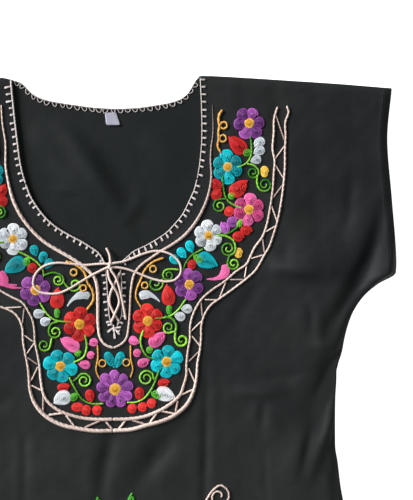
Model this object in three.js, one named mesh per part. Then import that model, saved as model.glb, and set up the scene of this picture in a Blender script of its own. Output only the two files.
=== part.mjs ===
// Embroidered summer dress, laid flat with its front side up.
// Front and back are each cut in one with their half sleeves, seamed at the shoulders and the sides.
// The front has a deep round neck with a slit, laced with a cord that is tied in a bow.
// Millimetres. +X to the right of the front, +Y towards the neck, +Z up from the table.

import * as THREE from 'three';

// ---- Driving dimensions ----
const LENGTH = 970;                       // highest point of the shoulders to hem
const TOP = 480;                          // height of the neck corner above the middle
const HEM = -LENGTH / 2;
const HEM_RISE = 8;                       // the hem curves up towards the side seams
const HEM_HALF_WIDTH = 350;
const SLEEVE_END = 328.8;                 // centre front to the sleeve opening
const SLEEVE_TOP = 458;                   // sleeve opening, shoulder end
const SLEEVE_FOOT = 246;                  // sleeve opening, underarm end
const NECK_CORNER = 108;                  // half of the neck width at the shoulder
const SLIT_FOOT = 190;                    // bottom of the front slit
const CENTRE = 1.5;                       // the slit and the centre front line, as laid

const WALL = 1.2;                         // cloth with its hems and stitching
const SEAM_GAP = 0.3;
const LOFT = 3.0;                         // how far the front stands off the back, away from its edges
const NECK_LOFT = 1.4;                    // the same at the neck edge
const EDGE_ROLL = 45;                     // distance in which the cloth rises from an edge
const BACK_TOP = WALL;
const FRONT_BASE = WALL + SEAM_GAP;

const CORD_RADIUS = 1.35;
const CORD_SIDES = 8;
const CORD_STEP = 7.6;
const CORD_LIFT = SEAM_GAP + CORD_RADIUS; // axis of a cord that lies on the cloth
const KNOT = { x: -1.7, y: 264.7, lift: 3.9, halfLength: 4.6, halfWidth: 4.2, halfHeight: 3.6 };

const LABEL = { x: 6.1, y: 433.4, width: 17, height: 15, corner: 3, thickness: 1.0, turn: 0.03 };

// Half width of the garment by height: hem, skirt, side, underarm, sleeve opening.
const SIDE = [
  { y: HEM, x: HEM_HALF_WIDTH },
  { y: -300, x: 318 },
  { y: -150, x: 285 },
  { y: -13, x: 258.3 },
  { y: 3, x: 255.9 },
  { y: 31, x: 253.4 },
  { y: 49, x: 251.2 },
  { y: 68, x: 251.6 },
  { y: 104, x: 253 },
  { y: 123, x: 254.7 },
  { y: 141, x: 255.8 },
  { y: 150, x: 259.8 },
  { y: 160, x: 262.9 },
  { y: 169, x: 264.8 },
  { y: 182, x: 268.2 },
  { y: 201, x: 275.5 },
  { y: 220, x: 288.7 },
  { y: 234, x: 306 },
  { y: SLEEVE_FOOT, x: 327 },
  { y: 262, x: 328.1 },
  { y: 332, x: 325 },
  { y: 395, x: 321.8 },
  { y: SLEEVE_TOP, x: SLEEVE_END },
];

// Edge of the slit and of the front neckline by height, each side as it lies.
const NECK = [
  { y: SLIT_FOOT, left: CENTRE, right: CENTRE },
  { y: 198, left: -1, right: 5 },
  { y: 208, left: -3, right: 9.4 },
  { y: 226, left: -4, right: 10.4 },
  { y: 247, left: -4.6, right: 10.4 },
  { y: 260, left: -5.4, right: 9.6 },
  { y: 268, left: -7, right: 11 },
  { y: 274, left: -9.5, right: 18 },
  { y: 280, left: -13.5, right: 25 },
  { y: 286, left: -21.5, right: 38.7 },
  { y: 293, left: -32, right: 52 },
  { y: 301, left: -46, right: 64.4 },
  { y: 310, left: -60, right: 73.5 },
  { y: 321, left: -72, right: 83 },
  { y: 338, left: -84.5, right: 92 },
  { y: 351, left: -91, right: 98 },
  { y: 385, left: -99.9, right: 105.4 },
  { y: 412, left: -102.7, right: 108 },
  { y: 442, left: -105.3, right: 108.6 },
  { y: TOP, left: -NECK_CORNER, right: NECK_CORNER },
];

// Height of the back neckline across the back, as it lies.
const BACK_NECKLINE = [
  { x: -NECK_CORNER, y: TOP + 2 },
  { x: -99, y: 479 },
  { x: -94, y: 475 },
  { x: -90, y: 470 },
  { x: -85, y: 465 },
  { x: -76, y: 460 },
  { x: -63, y: 456 },
  { x: -40, y: 451.6 },
  { x: -12, y: 447.2 },
  { x: 15, y: 445.2 },
  { x: 30, y: 445.4 },
  { x: 57, y: 448 },
  { x: 71, y: 450 },
  { x: 85, y: 454.2 },
  { x: 95, y: 462 },
  { x: 101, y: 472 },
  { x: NECK_CORNER, y: TOP },
];

// How much higher each shoulder lies than a straight line, by distance from the centre.
const SHOULDER_EASE = [
  { x: NECK_CORNER, left: 2, right: 0 },
  { x: 122, left: 6.2, right: 0.8 },
  { x: 150, left: 6.6, right: 1.3 },
  { x: 200, left: 4.5, right: 1.6 },
  { x: 260, left: 1.5, right: 1.8 },
  { x: SLEEVE_END, left: 0, right: 1 },
];

// Largest folds of the front. Each runs from its first point through the second to the third;
// half is its half width, rise its height above the cloth, below it where negative.
const FRONT_FOLDS = [
  { from: [319, 344], via: [292, 262], to: [245, 191], half: 15, rise: -2.3 },
  { from: [322, 300], via: [314, 262], to: [290, 240], half: 14, rise: 1.6 },
  { from: [221, 297], via: [179, 262], to: [143, 217], half: 13, rise: -2.1 },
  { from: [244, 279], via: [214, 265], to: [184, 252], half: 13, rise: 2.0 },
  { from: [185, 248], via: [213, 244], to: [240, 237], half: 11, rise: -1.6 },
  { from: [279, 347], via: [250, 330], to: [225, 312], half: 22, rise: -1.2 },
  { from: [253, 159], via: [243, 130], to: [231, 81], half: 13, rise: -2.2 },
  { from: [230, 91], via: [206, 73], to: [181, 54], half: 12, rise: -1.5 },
  { from: [140, 126], via: [174, 124], to: [210, 123], half: 12, rise: 1.5 },
  { from: [125, 108], via: [170, 107], to: [214, 106], half: 11, rise: -1.6 },
  { from: [104, 187], via: [98, 80], to: [92, -60], half: 12, rise: -1.6 },
  { from: [70, 93], via: [44, 55], to: [9, 16], half: 12, rise: -2.2 },
  { from: [66, 66], via: [58, 30], to: [44, -20], half: 13, rise: 1.8 },
  { from: [-19, 60], via: [-21, 2], to: [-30, -90], half: 12, rise: -1.6 },
  { from: [200, 82], via: [203, 40], to: [208, -20], half: 19, rise: 2.2 },
  { from: [-316, 350], via: [-296, 276], to: [-252, 200], half: 15, rise: -2.2 },
  { from: [-230, 300], via: [-186, 262], to: [-148, 226], half: 14, rise: -1.9 },
  { from: [-250, 270], via: [-220, 256], to: [-190, 238], half: 13, rise: 1.8 },
  { from: [-262, 150], via: [-246, 118], to: [-236, 66], half: 14, rise: -2.1 },
  { from: [-128, 108], via: [-170, 109], to: [-216, 111], half: 11, rise: -1.5 },
  { from: [-106, 171], via: [-109, 60], to: [-113, -80], half: 12, rise: -1.6 },
  { from: [-190, 60], via: [-205, -100], to: [-216, -300], half: 20, rise: 2.2 },
  { from: [-60, -30], via: [-78, -200], to: [-84, -430], half: 20, rise: -2.0 },
  { from: [20, -60], via: [24, -240], to: [14, -455], half: 22, rise: 2.2 },
  { from: [120, -90], via: [136, -260], to: [160, -450], half: 20, rise: -2.1 },
  { from: [226, -60], via: [246, -230], to: [262, -440], half: 20, rise: 2.0 },
  { from: [-290, -230], via: [-282, -330], to: [-276, -440], half: 18, rise: -1.8 },
  { from: [-150, -240], via: [-152, -340], to: [-148, -465], half: 20, rise: 1.9 },
];

// Folds of the back that show inside the neck opening.
const BACK_FOLDS = [
  { from: [-52, 392], via: [-20, 362], to: [6, 322], half: 12, rise: 1.2 },
  { from: [-24, 424], via: [14, 388], to: [40, 344], half: 12, rise: 1.1 },
];

// Grid rows of the panels, as bands of height on their inner edge.
const FRONT_BANDS = [
  { from: HEM, to: -60, rows: 12 },
  { from: -60, to: SLIT_FOOT, rows: 14 },
  { from: SLIT_FOOT, to: SLEEVE_FOOT, rows: 5 },
  { from: SLEEVE_FOOT, to: 310, rows: 7 },
  { from: 310, to: TOP, rows: 9 },
];
const BACK_BANDS = [
  { from: HEM, to: -60, rows: 8 },
  { from: -60, to: SLIT_FOOT, rows: 8 },
  { from: SLIT_FOOT, to: SLEEVE_FOOT, rows: 5 },
  { from: SLEEVE_FOOT, to: TOP, rows: 12 },
];
const FRONT_COLUMNS = 18;                 // from the centre to one side
const SHOULDER_COLUMNS = 8;               // of the back, from neck corner to side
const NECK_COLUMNS = 12;                  // of the back, between the neck corners

// ---- Curves through the tables ----

/** Smooth curve through a table: the value of one column at a place along another. */
function along(table, key, column, at) {
  const last = table.length - 1;
  const place = THREE.MathUtils.clamp(at, table[0][key], table[last][key]);
  let i = 0;
  while (i < last - 1 && place > table[i + 1][key]) i += 1;
  const span = (k) => table[k + 1][key] - table[k][key];
  const slope = (k) => (table[k + 1][column] - table[k][column]) / span(k);
  const tangent = (k) => {
    if (k === 0 || k === last) return slope(Math.min(k, last - 1));
    const before = slope(k - 1);
    const after = slope(k);
    return before * after > 0 ? (2 * before * after) / (before + after) : 0;
  };
  const t = (place - table[i][key]) / span(i);
  const start = table[i][column];
  const end = table[i + 1][column];
  const bend = (end - start) * t * t * (3 - 2 * t);
  const lean = span(i) * t * (1 - t) * (tangent(i) * (1 - t) - tangent(i + 1) * t);
  return start + bend + lean;
}

const halfWidth = (y) => along(SIDE, 'y', 'x', y);
const neckEdge = (y, side) => along(NECK, 'y', side < 0 ? 'left' : 'right', y);
const easeAt = (x) => along(SHOULDER_EASE, 'x', x < 0 ? 'left' : 'right', Math.abs(x));
const shoulderAt = (x) => TOP + easeAt(x)
  - ((TOP - SLEEVE_TOP) * (Math.abs(x) - NECK_CORNER)) / (SLEEVE_END - NECK_CORNER);
const hemAt = (x) => HEM + HEM_RISE * (x / HEM_HALF_WIDTH) ** 2;
const backTopAt = (x) => (Math.abs(x) < NECK_CORNER
  ? along(BACK_NECKLINE, 'x', 'y', x)
  : shoulderAt(x));

/** 0 at and outside an edge, 1 from a given distance inwards. */
const rise = (distance, reach) => THREE.MathUtils.smoothstep(distance, 0, reach);

// ---- Heights of the cloth ----

/** Height that one fold adds at a place: a soft ridge or trough that fades out at both ends. */
function foldAt(fold, x, y) {
  const pieces = 10;
  const place = new THREE.Vector2(x, y);
  const [a, b, c] = [fold.from, fold.via, fold.to].map(([px, py]) => new THREE.Vector2(px, py));
  const control = b.clone().multiplyScalar(2).sub(a.clone().add(c).multiplyScalar(0.5));
  const curve = new THREE.QuadraticBezierCurve(a, control, c);
  let nearest = Infinity;
  let where = 0;
  for (let i = 0; i <= pieces; i += 1) {
    const distance = curve.getPoint(i / pieces).distanceTo(place);
    if (distance < nearest) {
      nearest = distance;
      where = i / pieces;
    }
  }
  const fade = 0.35 + 0.65 * Math.sin(Math.PI * where);
  return fold.rise * fade * Math.exp(-((nearest / fold.half) ** 2));
}

const foldsAt = (folds, x, y) => folds.reduce((sum, fold) => sum + foldAt(fold, x, y), 0);

/** How freely the front may leave the back: 0 at its seams and hems, 1 in its middle. */
function freedom(x, y) {
  const lean = (halfWidth(y + 1) - halfWidth(y - 1)) / 2;
  const side = (halfWidth(y) - Math.abs(x)) / Math.hypot(1, lean);
  return rise(side, EDGE_ROLL) * rise(shoulderAt(x) - y, EDGE_ROLL) * rise(y - hemAt(x), EDGE_ROLL);
}

/** Distance from the neck edge or slit, measured across. */
function fromNeck(x, y) {
  if (y < SLIT_FOOT) return EDGE_ROLL;
  return Math.abs(x - CENTRE) - Math.abs(neckEdge(y, x - CENTRE) - CENTRE);
}

function frontUnder(x, y) {
  const inner = rise(fromNeck(x, y), EDGE_ROLL);
  const loft = NECK_LOFT + (LOFT - NECK_LOFT) * inner;
  const standing = loft + foldsAt(FRONT_FOLDS, x, y) * inner;
  return FRONT_BASE + Math.max(0, standing) * freedom(x, y);
}

function backUnder(x, y) {
  if (y < SLIT_FOOT) return 0;
  return Math.max(0, foldsAt(BACK_FOLDS, x, y)) * rise(-fromNeck(x, y), 22);
}

const frontFace = (x, y) => frontUnder(x, y) + WALL;

// ---- Panels ----

/** Heights of the grid rows of a panel, from its bands. */
function rowsOf(bands) {
  const rows = bands.flatMap(({ from, to, rows: count }) => (
    Array.from({ length: count }, (_, i) => from + ((to - from) * i) / count)));
  return [...rows, bands.at(-1).to];
}

/** Splits a quad of a sheet into two triangles, without any that has no area. */
function splitQuad(a, b, c, d) {
  return [[a, b, c], [a, c, d]].filter(([p, q, r]) => p !== q && q !== r && r !== p);
}

/** Closed wall over a flat sheet of triangles: its lower face, its upper face and its rim. */
function wallOver(points, faces, under) {
  const count = points.length;
  const positions = [];
  for (const [x, y] of points) positions.push(x, y, under(x, y) + WALL);
  for (const [x, y] of points) positions.push(x, y, under(x, y));
  const index = [];
  const edges = new Map();
  for (const face of faces) {
    const [a, b, c] = face;
    index.push(a, b, c, a + count, c + count, b + count);
    [[a, b], [b, c], [c, a]].forEach(([p, q]) => edges.set(`${p},${q}`, [p, q]));
  }
  for (const [p, q] of edges.values()) {
    if (!edges.has(`${q},${p}`)) index.push(p + count, q + count, q, p + count, q, p);
  }
  const geometry = new THREE.BufferGeometry();
  geometry.setAttribute('position', new THREE.Float32BufferAttribute(positions, 3));
  geometry.setIndex(index);
  geometry.computeVertexNormals();
  return geometry;
}

/** Front panel: two halves that share their centre line below the slit. */
function frontGeometry() {
  const rows = rowsOf(FRONT_BANDS);
  const points = [];
  const faces = [];
  const grids = [-1, 1].map((side) => rows.map((inner) => {
    const share = Math.max(0, (inner - SLEEVE_FOOT) / (TOP - SLEEVE_FOOT));
    const outer = Math.min(inner, SLEEVE_FOOT + share * (SLEEVE_TOP - SLEEVE_FOOT));
    const start = inner > SLIT_FOOT ? neckEdge(inner, side) : CENTRE;
    const end = side * halfWidth(outer);
    return Array.from({ length: FRONT_COLUMNS + 1 }, (_, k) => {
      const t = k / FRONT_COLUMNS;
      const x = start + (end - start) * t;
      const y = inner + (outer - inner) * t + easeAt(x) * share;
      return [x, inner === HEM ? hemAt(x) : y];
    });
  }));
  const shared = rows.filter((y) => y <= SLIT_FOOT).length;
  const numbers = grids.map((grid, half) => grid.map((row, j) => row.map((point, k) => {
    if (half === 1 && k === 0 && j < shared) return null;
    points.push(point);
    return points.length - 1;
  })));
  for (let j = 0; j < shared; j += 1) numbers[1][j][0] = numbers[0][j][0];
  numbers.forEach((grid, half) => {
    for (let j = 0; j < rows.length - 1; j += 1) {
      for (let k = 0; k < FRONT_COLUMNS; k += 1) {
        const [a, b, c, d] = [grid[j][k], grid[j][k + 1], grid[j + 1][k + 1], grid[j + 1][k]];
        faces.push(...(half === 1 ? splitQuad(a, b, c, d) : splitQuad(b, a, d, c)));
      }
    }
  });
  return wallOver(points, faces, frontUnder);
}

/** Back panel: one sheet whose top edge follows the shoulders and the back neckline. */
function backGeometry() {
  const rows = rowsOf(BACK_BANDS);
  const grid = rows.map((height) => {
    const share = Math.max(0, (height - SLEEVE_FOOT) / (TOP - SLEEVE_FOOT));
    const outer = height > SLEEVE_FOOT ? SLEEVE_FOOT + share * (SLEEVE_TOP - SLEEVE_FOOT) : height;
    const wide = halfWidth(outer);
    const across = [];
    for (let k = 0; k < SHOULDER_COLUMNS; k += 1) {
      across.push(-wide + ((wide - NECK_CORNER) * k) / SHOULDER_COLUMNS);
    }
    for (let k = 0; k <= NECK_COLUMNS; k += 1) across.push(NECK_CORNER * ((2 * k) / NECK_COLUMNS - 1));
    for (let k = 1; k <= SHOULDER_COLUMNS; k += 1) {
      across.push(NECK_CORNER + ((wide - NECK_CORNER) * k) / SHOULDER_COLUMNS);
    }
    return across.map((x) => {
      if (height === HEM) return [x, hemAt(x)];
      if (height <= SLEEVE_FOOT) return [x, height];
      return [x, SLEEVE_FOOT + share * (backTopAt(x) - SLEEVE_FOOT)];
    });
  });
  const width = grid[0].length;
  const faces = [];
  for (let j = 0; j < rows.length - 1; j += 1) {
    for (let k = 0; k < width - 1; k += 1) {
      const a = j * width + k;
      faces.push(...splitQuad(a, a + 1, a + 1 + width, a + width));
    }
  }
  return wallOver(grid.flat(), faces, backUnder);
}

/** Blank size label, sewn under the back neckline, with round lower corners. */
function labelGeometry() {
  const { width, height, corner, thickness } = LABEL;
  const shape = new THREE.Shape();
  shape.moveTo(-width / 2, height / 2);
  shape.lineTo(-width / 2, -height / 2 + corner);
  shape.quadraticCurveTo(-width / 2, -height / 2, -width / 2 + corner, -height / 2);
  shape.lineTo(width / 2 - corner, -height / 2);
  shape.quadraticCurveTo(width / 2, -height / 2, width / 2, -height / 2 + corner);
  shape.lineTo(width / 2, height / 2);
  shape.closePath();
  return new THREE.ExtrudeGeometry(shape, { depth: thickness, bevelEnabled: false, curveSegments: 4 });
}

// ---- Lacing cord ----
// Routes by hand. lift is the height of the cord's axis above a cord that lies on the cloth.
const LACE = {
  lace_left_loop: [
    { x: -6.8, y: 267.0, lift: 2.2 },
    { x: -18, y: 266.8, lift: 0.8 },
    { x: -30, y: 266.2, lift: 0 },
    { x: -46, y: 268.0, lift: 0 },
    { x: -62, y: 269.6, lift: 0 },
    { x: -75, y: 267.4, lift: 0 },
    { x: -84.5, y: 261, lift: 0 },
    { x: -89.6, y: 252, lift: 0 },
    { x: -89.6, y: 243.4, lift: 0 },
    { x: -84, y: 237.4, lift: 0 },
    { x: -74, y: 234.6, lift: 0 },
    { x: -62.5, y: 234.6, lift: 0 },
    { x: -50, y: 239, lift: 0 },
    { x: -36.5, y: 246.6, lift: 0 },
    { x: -22.5, y: 254.4, lift: 0.6 },
    { x: -6.8, y: 261.8, lift: 1.9 },
  ],
  lace_right_loop: [
    { x: 3.4, y: 267.4, lift: 2.2 },
    { x: 13, y: 268.6, lift: 0.9 },
    { x: 23, y: 271.8, lift: 0 },
    { x: 37, y: 277, lift: 0 },
    { x: 50.5, y: 279.8, lift: 0 },
    { x: 64, y: 277.6, lift: 0 },
    { x: 74, y: 271.6, lift: 0 },
    { x: 79.4, y: 262.6, lift: 0 },
    { x: 79, y: 253, lift: 0 },
    { x: 73, y: 246.4, lift: 0 },
    { x: 63.5, y: 244.4, lift: 0 },
    { x: 51, y: 246.6, lift: 0 },
    { x: 37, y: 252, lift: 0 },
    { x: 25, y: 257.4, lift: 0.3 },
    { x: 14, y: 261, lift: 1.2 },
    { x: 3.4, y: 262.6, lift: 2.0 },
  ],
  lace_short_end: [
    { x: -1.0, y: 269.5, lift: 2.2 },
    { x: -2, y: 277.6, lift: 0.4 },
    { x: -5.3, y: 285, lift: -1.2 },
  ],
  lace_long_end: [
    { x: -0.4, y: 260.0, lift: 3.6 },
    { x: 4.6, y: 251.5, lift: 3.5 },
    { x: 8.2, y: 241, lift: 3.3 },
    { x: 11.2, y: 226, lift: 3.3 },
    { x: 13.4, y: 212, lift: 1.2 },
    { x: 14.6, y: 202, lift: 0 },
  ],
  lace_left_run: [
    { x: -4.6, y: 260.6, lift: 0.8 },
    { x: -2.6, y: 249, lift: 2.4 },
    { x: 1.6, y: 241, lift: 3.7 },
    { x: 6, y: 232, lift: 1.2 },
    { x: 7.6, y: 222, lift: 0 },
    { x: 3.4, y: 211, lift: 3.7 },
    { x: -2.6, y: 199, lift: 0 },
  ],
  lace_right_run: [
    { x: 9.6, y: 256.6, lift: 0 },
    { x: 6, y: 249, lift: 0 },
    { x: 1, y: 240, lift: 0 },
    { x: -2.6, y: 231, lift: 0 },
    { x: -3.4, y: 222, lift: 0 },
    { x: 0.6, y: 211, lift: 0 },
    { x: 7, y: 200, lift: 0 },
  ],
};

/** One stretch of the cord: a round tube with flat ends along its route over the front. */
function cordGeometry(route) {
  const points = route.map(({ x, y, lift }) => new THREE.Vector3(x, y, frontFace(x, y) + CORD_LIFT + lift));
  const path = new THREE.CatmullRomCurve3(points);
  const section = new THREE.Shape();
  for (let k = 0; k < CORD_SIDES; k += 1) {
    const angle = (2 * Math.PI * k) / CORD_SIDES;
    const [x, y] = [CORD_RADIUS * Math.cos(angle), CORD_RADIUS * Math.sin(angle)];
    if (k === 0) section.moveTo(x, y);
    else section.lineTo(x, y);
  }
  section.closePath();
  const steps = Math.max(3, Math.round(path.getLength() / CORD_STEP));
  return new THREE.ExtrudeGeometry(section, { steps, extrudePath: path, bevelEnabled: false });
}

/** The knot of the bow, over the top of the slit. */
function knotGeometry() {
  const geometry = new THREE.SphereGeometry(1, 14, 9);
  geometry.scale(KNOT.halfLength, KNOT.halfWidth, KNOT.halfHeight);
  geometry.translate(KNOT.x, KNOT.y, frontFace(KNOT.x, KNOT.y) + KNOT.lift);
  return geometry;
}

// ---- Materials ----
const CLOTH = new THREE.MeshStandardMaterial({ color: 0x1a1c1d, roughness: 0.92, metalness: 0 });
const LACING = new THREE.MeshStandardMaterial({ color: 0xe6d3cb, roughness: 0.7, metalness: 0 });
const TAPE = new THREE.MeshStandardMaterial({ color: 0xeef0f0, roughness: 0.6, metalness: 0 });

/** Adds one named sub-part to a group. */
function add(group, name, geometry, material) {
  const mesh = new THREE.Mesh(geometry, material);
  mesh.name = name;
  group.add(mesh);
  return mesh;
}

const dress = new THREE.Group();
add(dress, 'back_panel', backGeometry(), CLOTH);
add(dress, 'front_panel', frontGeometry(), CLOTH);

const label = add(dress, 'size_label', labelGeometry(), TAPE);
label.position.set(LABEL.x, LABEL.y, BACK_TOP + SEAM_GAP);
label.rotation.z = -LABEL.turn;

const lace = new THREE.Group();
add(lace, 'lace_knot', knotGeometry(), LACING);
for (const [name, route] of Object.entries(LACE)) add(lace, name, cordGeometry(route), LACING);
dress.add(lace);

export default dress;
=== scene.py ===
"""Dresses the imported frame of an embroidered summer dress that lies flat, front side up.

The cloth panels, the lacing cord and the label take the place of their solids in the frame. Every
stitch of the embroidery is a thread of its own: a path on the cloth that Geometry Nodes turn into a
tube. Tables hold millimetres on the cloth, or squares of the embroidery chart; meshes hold metres.
"""

from __future__ import annotations

import logging
import math
from dataclasses import dataclass, field
from enum import Enum
from typing import Callable, Iterable, Sequence

import bpy
import numpy as np
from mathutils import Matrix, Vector

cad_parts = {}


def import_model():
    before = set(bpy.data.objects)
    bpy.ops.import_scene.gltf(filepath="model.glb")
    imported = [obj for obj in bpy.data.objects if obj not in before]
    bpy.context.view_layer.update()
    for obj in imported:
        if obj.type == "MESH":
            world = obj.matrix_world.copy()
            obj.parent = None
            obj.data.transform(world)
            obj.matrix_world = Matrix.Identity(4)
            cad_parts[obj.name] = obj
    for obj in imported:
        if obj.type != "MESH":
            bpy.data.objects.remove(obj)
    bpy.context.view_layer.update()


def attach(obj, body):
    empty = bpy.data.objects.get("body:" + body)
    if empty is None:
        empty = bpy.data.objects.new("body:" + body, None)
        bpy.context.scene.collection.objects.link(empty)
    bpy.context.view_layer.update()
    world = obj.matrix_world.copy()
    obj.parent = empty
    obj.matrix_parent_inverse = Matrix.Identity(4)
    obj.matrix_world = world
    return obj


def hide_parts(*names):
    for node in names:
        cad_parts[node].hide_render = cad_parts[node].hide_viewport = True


LOG = logging.getLogger("dress")
MM = 0.001
BODY = "root"

Pair = tuple[float, float]
Colour = tuple[float, float, float]


# ---------------------------------------------------------------- small tools


def linear(srgb: Sequence[float]) -> np.ndarray:
    """Turns a display colour from 0 to 255 into a linear one from 0 to 1."""
    value = np.asarray(srgb, float) / 255
    return np.where(value <= 0.04045, value / 12.92, ((value + 0.055) / 1.055) ** 2.4)


def along(keys: Sequence[float], values: Sequence[float], at: np.ndarray | float) -> np.ndarray:
    """Reads a smooth curve through a table.

    Args:
        keys: Rising places.
        values: Value at each place.
        at: Where to read the curve.

    Returns:
        The curve's values, with no overshoot between the table's rows.
    """
    keys, values = np.asarray(keys, float), np.asarray(values, float)
    span = np.diff(keys)
    slope = np.diff(values) / span
    before, after = slope[:-1], slope[1:]
    rising = before * after > 0
    total = np.where(rising, before + after, 1)
    tangent = np.concatenate([slope[:1], np.where(rising, 2 * before * after / total, 0), slope[-1:]])
    place = np.clip(at, keys[0], keys[-1])
    i = np.clip(np.searchsorted(keys, place, side="right") - 1, 0, len(span) - 1)
    t = (place - keys[i]) / span[i]
    bend = (values[i + 1] - values[i]) * t * t * (3 - 2 * t)
    lean = span[i] * t * (1 - t) * (tangent[i] * (1 - t) - tangent[i + 1] * t)
    return values[i] + bend + lean


def column(table: Sequence[Sequence[float]], number: int, at: np.ndarray | float) -> np.ndarray:
    """Reads one column of a table as a smooth curve over its first column."""
    return along([row[0] for row in table], [row[number] for row in table], at)


def rise(distance: np.ndarray | float, reach: float) -> np.ndarray:
    """Soft step: 0 at and outside an edge, 1 from a given distance inwards."""
    t = np.clip(np.asarray(distance, float) / reach, 0, 1)
    return t * t * (3 - 2 * t)


def run_of(path: np.ndarray) -> np.ndarray:
    """Distance of each point of a path from its start, along it."""
    return np.concatenate([[0], np.cumsum(np.linalg.norm(np.diff(path, axis=0), axis=1))])


def at_places(path: np.ndarray, run: np.ndarray, places: np.ndarray) -> np.ndarray:
    """Points of a path at some places of its run."""
    return np.column_stack([np.interp(places, run, path[:, k]) for k in range(path.shape[1])])


def heading(path: np.ndarray) -> tuple[np.ndarray, np.ndarray]:
    """Unit steps ahead along a path, and in plan to the left of it."""
    ahead = np.gradient(path, axis=0)
    ahead /= np.maximum(np.linalg.norm(ahead, axis=1, keepdims=True), 1e-9)
    return ahead, np.column_stack([-ahead[:, 1], ahead[:, 0]])


def blend(knots: np.ndarray, first: int, last: int, t: np.ndarray, start: np.ndarray,
          end: np.ndarray) -> np.ndarray:
    """Points between two others, by where t lies between two knots."""
    span = knots[last] - knots[first]
    return (knots[last] - t) / span * start + (t - knots[first]) / span * end


def smooth_path(points: Sequence[Sequence[float]], step: float) -> np.ndarray:
    """Runs an evenly divided smooth line through a few points.

    Args:
        points: Points in two or three dimensions.
        step: Distance between the points of the result.

    Returns:
        The points of a centripetal Catmull-Rom curve, at equal distances.
    """
    given = np.asarray(points, float)
    fine = given
    if len(given) > 2:
        padded = np.vstack([2 * given[0] - given[1], given, 2 * given[-1] - given[-2]])
        pieces = []
        for four in zip(padded, padded[1:], padded[2:], padded[3:]):
            knots = np.cumsum([0.0] + [max(np.linalg.norm(b - a), 1e-6) ** 0.5
                                       for a, b in zip(four, four[1:])])
            t = np.linspace(knots[1], knots[2], 13)[:-1, None]
            near = [blend(knots, k, k + 1, t, four[k], four[k + 1]) for k in range(3)]
            far = [blend(knots, k, k + 2, t, near[k], near[k + 1]) for k in range(2)]
            pieces.append(blend(knots, 1, 2, t, *far))
        fine = np.vstack([*pieces, given[-1:]])
    run = run_of(fine)
    count = max(2, int(round(run[-1] / step)) + 1)
    return at_places(fine, run, np.linspace(0, run[-1], count))


def put(name: str, data: bpy.types.ID) -> bpy.types.Object:
    """Makes an object of its data and links it to the scene."""
    made = bpy.data.objects.new(name, data)
    bpy.context.scene.collection.objects.link(made)
    return made


def store(mesh: bpy.types.Mesh, name: str, kind: str, values: np.ndarray) -> None:
    """Keeps a number, a vector or an opaque colour for each point of a mesh."""
    key = {"FLOAT": "value", "FLOAT_VECTOR": "vector", "FLOAT_COLOR": "color"}[kind]
    if kind == "FLOAT_COLOR":
        values = np.column_stack([values, np.ones(len(values))])
    mesh.attributes.new(name, kind, "POINT").data.foreach_set(key, values.astype(np.float32).ravel())


def new_mesh_object(name: str, verts: np.ndarray, faces: Sequence[Sequence[int]],
                    edges: Sequence[Pair] = ()) -> bpy.types.Object:
    """Makes a smooth mesh object at the origin from points in metres."""
    mesh = bpy.data.meshes.new(name)
    mesh.from_pydata([tuple(v) for v in verts], edges, [tuple(f) for f in faces])
    mesh.validate()
    mesh.shade_smooth()
    return put(name, mesh)


def grid_faces(rows: int, columns: int) -> list[tuple[int, ...]]:
    """Faces of a grid whose points are counted row by row."""
    starts = [j * columns + k for j in range(rows - 1) for k in range(columns - 1)]
    return [(a, a + 1, a + 1 + columns, a + columns) for a in starts]


def declare(piece: bpy.types.Object, finish: bpy.types.Material | None = None,
            replaced: Sequence[str] = ()) -> None:
    """Gives a piece its material and says its body and the solids that it replaces."""
    if finish:
        piece.data.materials.append(finish)
    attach(piece, BODY)
    if replaced:
        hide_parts(*replaced)
    LOG.info("%s has %d faces", piece.name, len(piece.data.polygons))


# ---------------------------------------------------------------- embroidery chart and floss


@dataclass(frozen=True)
class Chart:
    """The embroidery chart: the size of its squares, its tilt and its pinned point on the cloth."""

    square: float = 1.15
    tilt: float = 0.0304
    pin_x: float = 112.5
    pin_y: float = 300.0
    pin_height: float = 225.0

    def to_cloth(self, points: Iterable[Sequence[float]]) -> np.ndarray:
        """Turns chart squares, counted right and down, into millimetres on the cloth."""
        given = np.atleast_2d(np.asarray(points, float))
        across, up = given[:, 0] - self.pin_x, self.pin_y - given[:, 1]
        c, s = math.cos(self.tilt), math.sin(self.tilt)
        x = (across * c + up * s) * self.square
        y = (up * c - across * s) * self.square + self.pin_height
        return np.column_stack([x, y])


CHART = Chart()


class Floss(Enum):
    """Embroidery threads: darkest and lightest display colour of each skein; the petals' painted sheen also
    runs between them.
    """

    PURPLE = ((76, 32, 100), (186, 98, 192))
    TURQUOISE = ((0, 116, 124), (6, 212, 226))
    PINK = ((176, 32, 92), (246, 116, 180))
    RED = ((166, 8, 12), (234, 56, 52))
    WHITE = ((168, 180, 190), (236, 240, 243))
    GREEN = ((18, 112, 22), (164, 236, 78))
    LEAF = ((20, 110, 24), (98, 190, 52))
    GOLD = ((206, 134, 40), (250, 206, 116))
    YELLOW = ((240, 172, 44), (255, 212, 96))
    CORE = ((176, 116, 12), (238, 178, 54))
    CREAM = ((198, 172, 162), (248, 228, 218))
    SHADED = ((150, 126, 120), (206, 182, 174))
    EDGING = ((150, 142, 140), (240, 230, 228))

    def tone(self, share: np.ndarray | float) -> np.ndarray:
        """Linear colour between the darkest, at 0, and the lightest, at 1."""
        dark, light = linear(self.value[0]), linear(self.value[1])
        part = np.clip(np.atleast_1d(share), 0, 1)[:, None]
        return dark * (1 - part) + light * part


# ---------------------------------------------------------------- how the cloth lies


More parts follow.
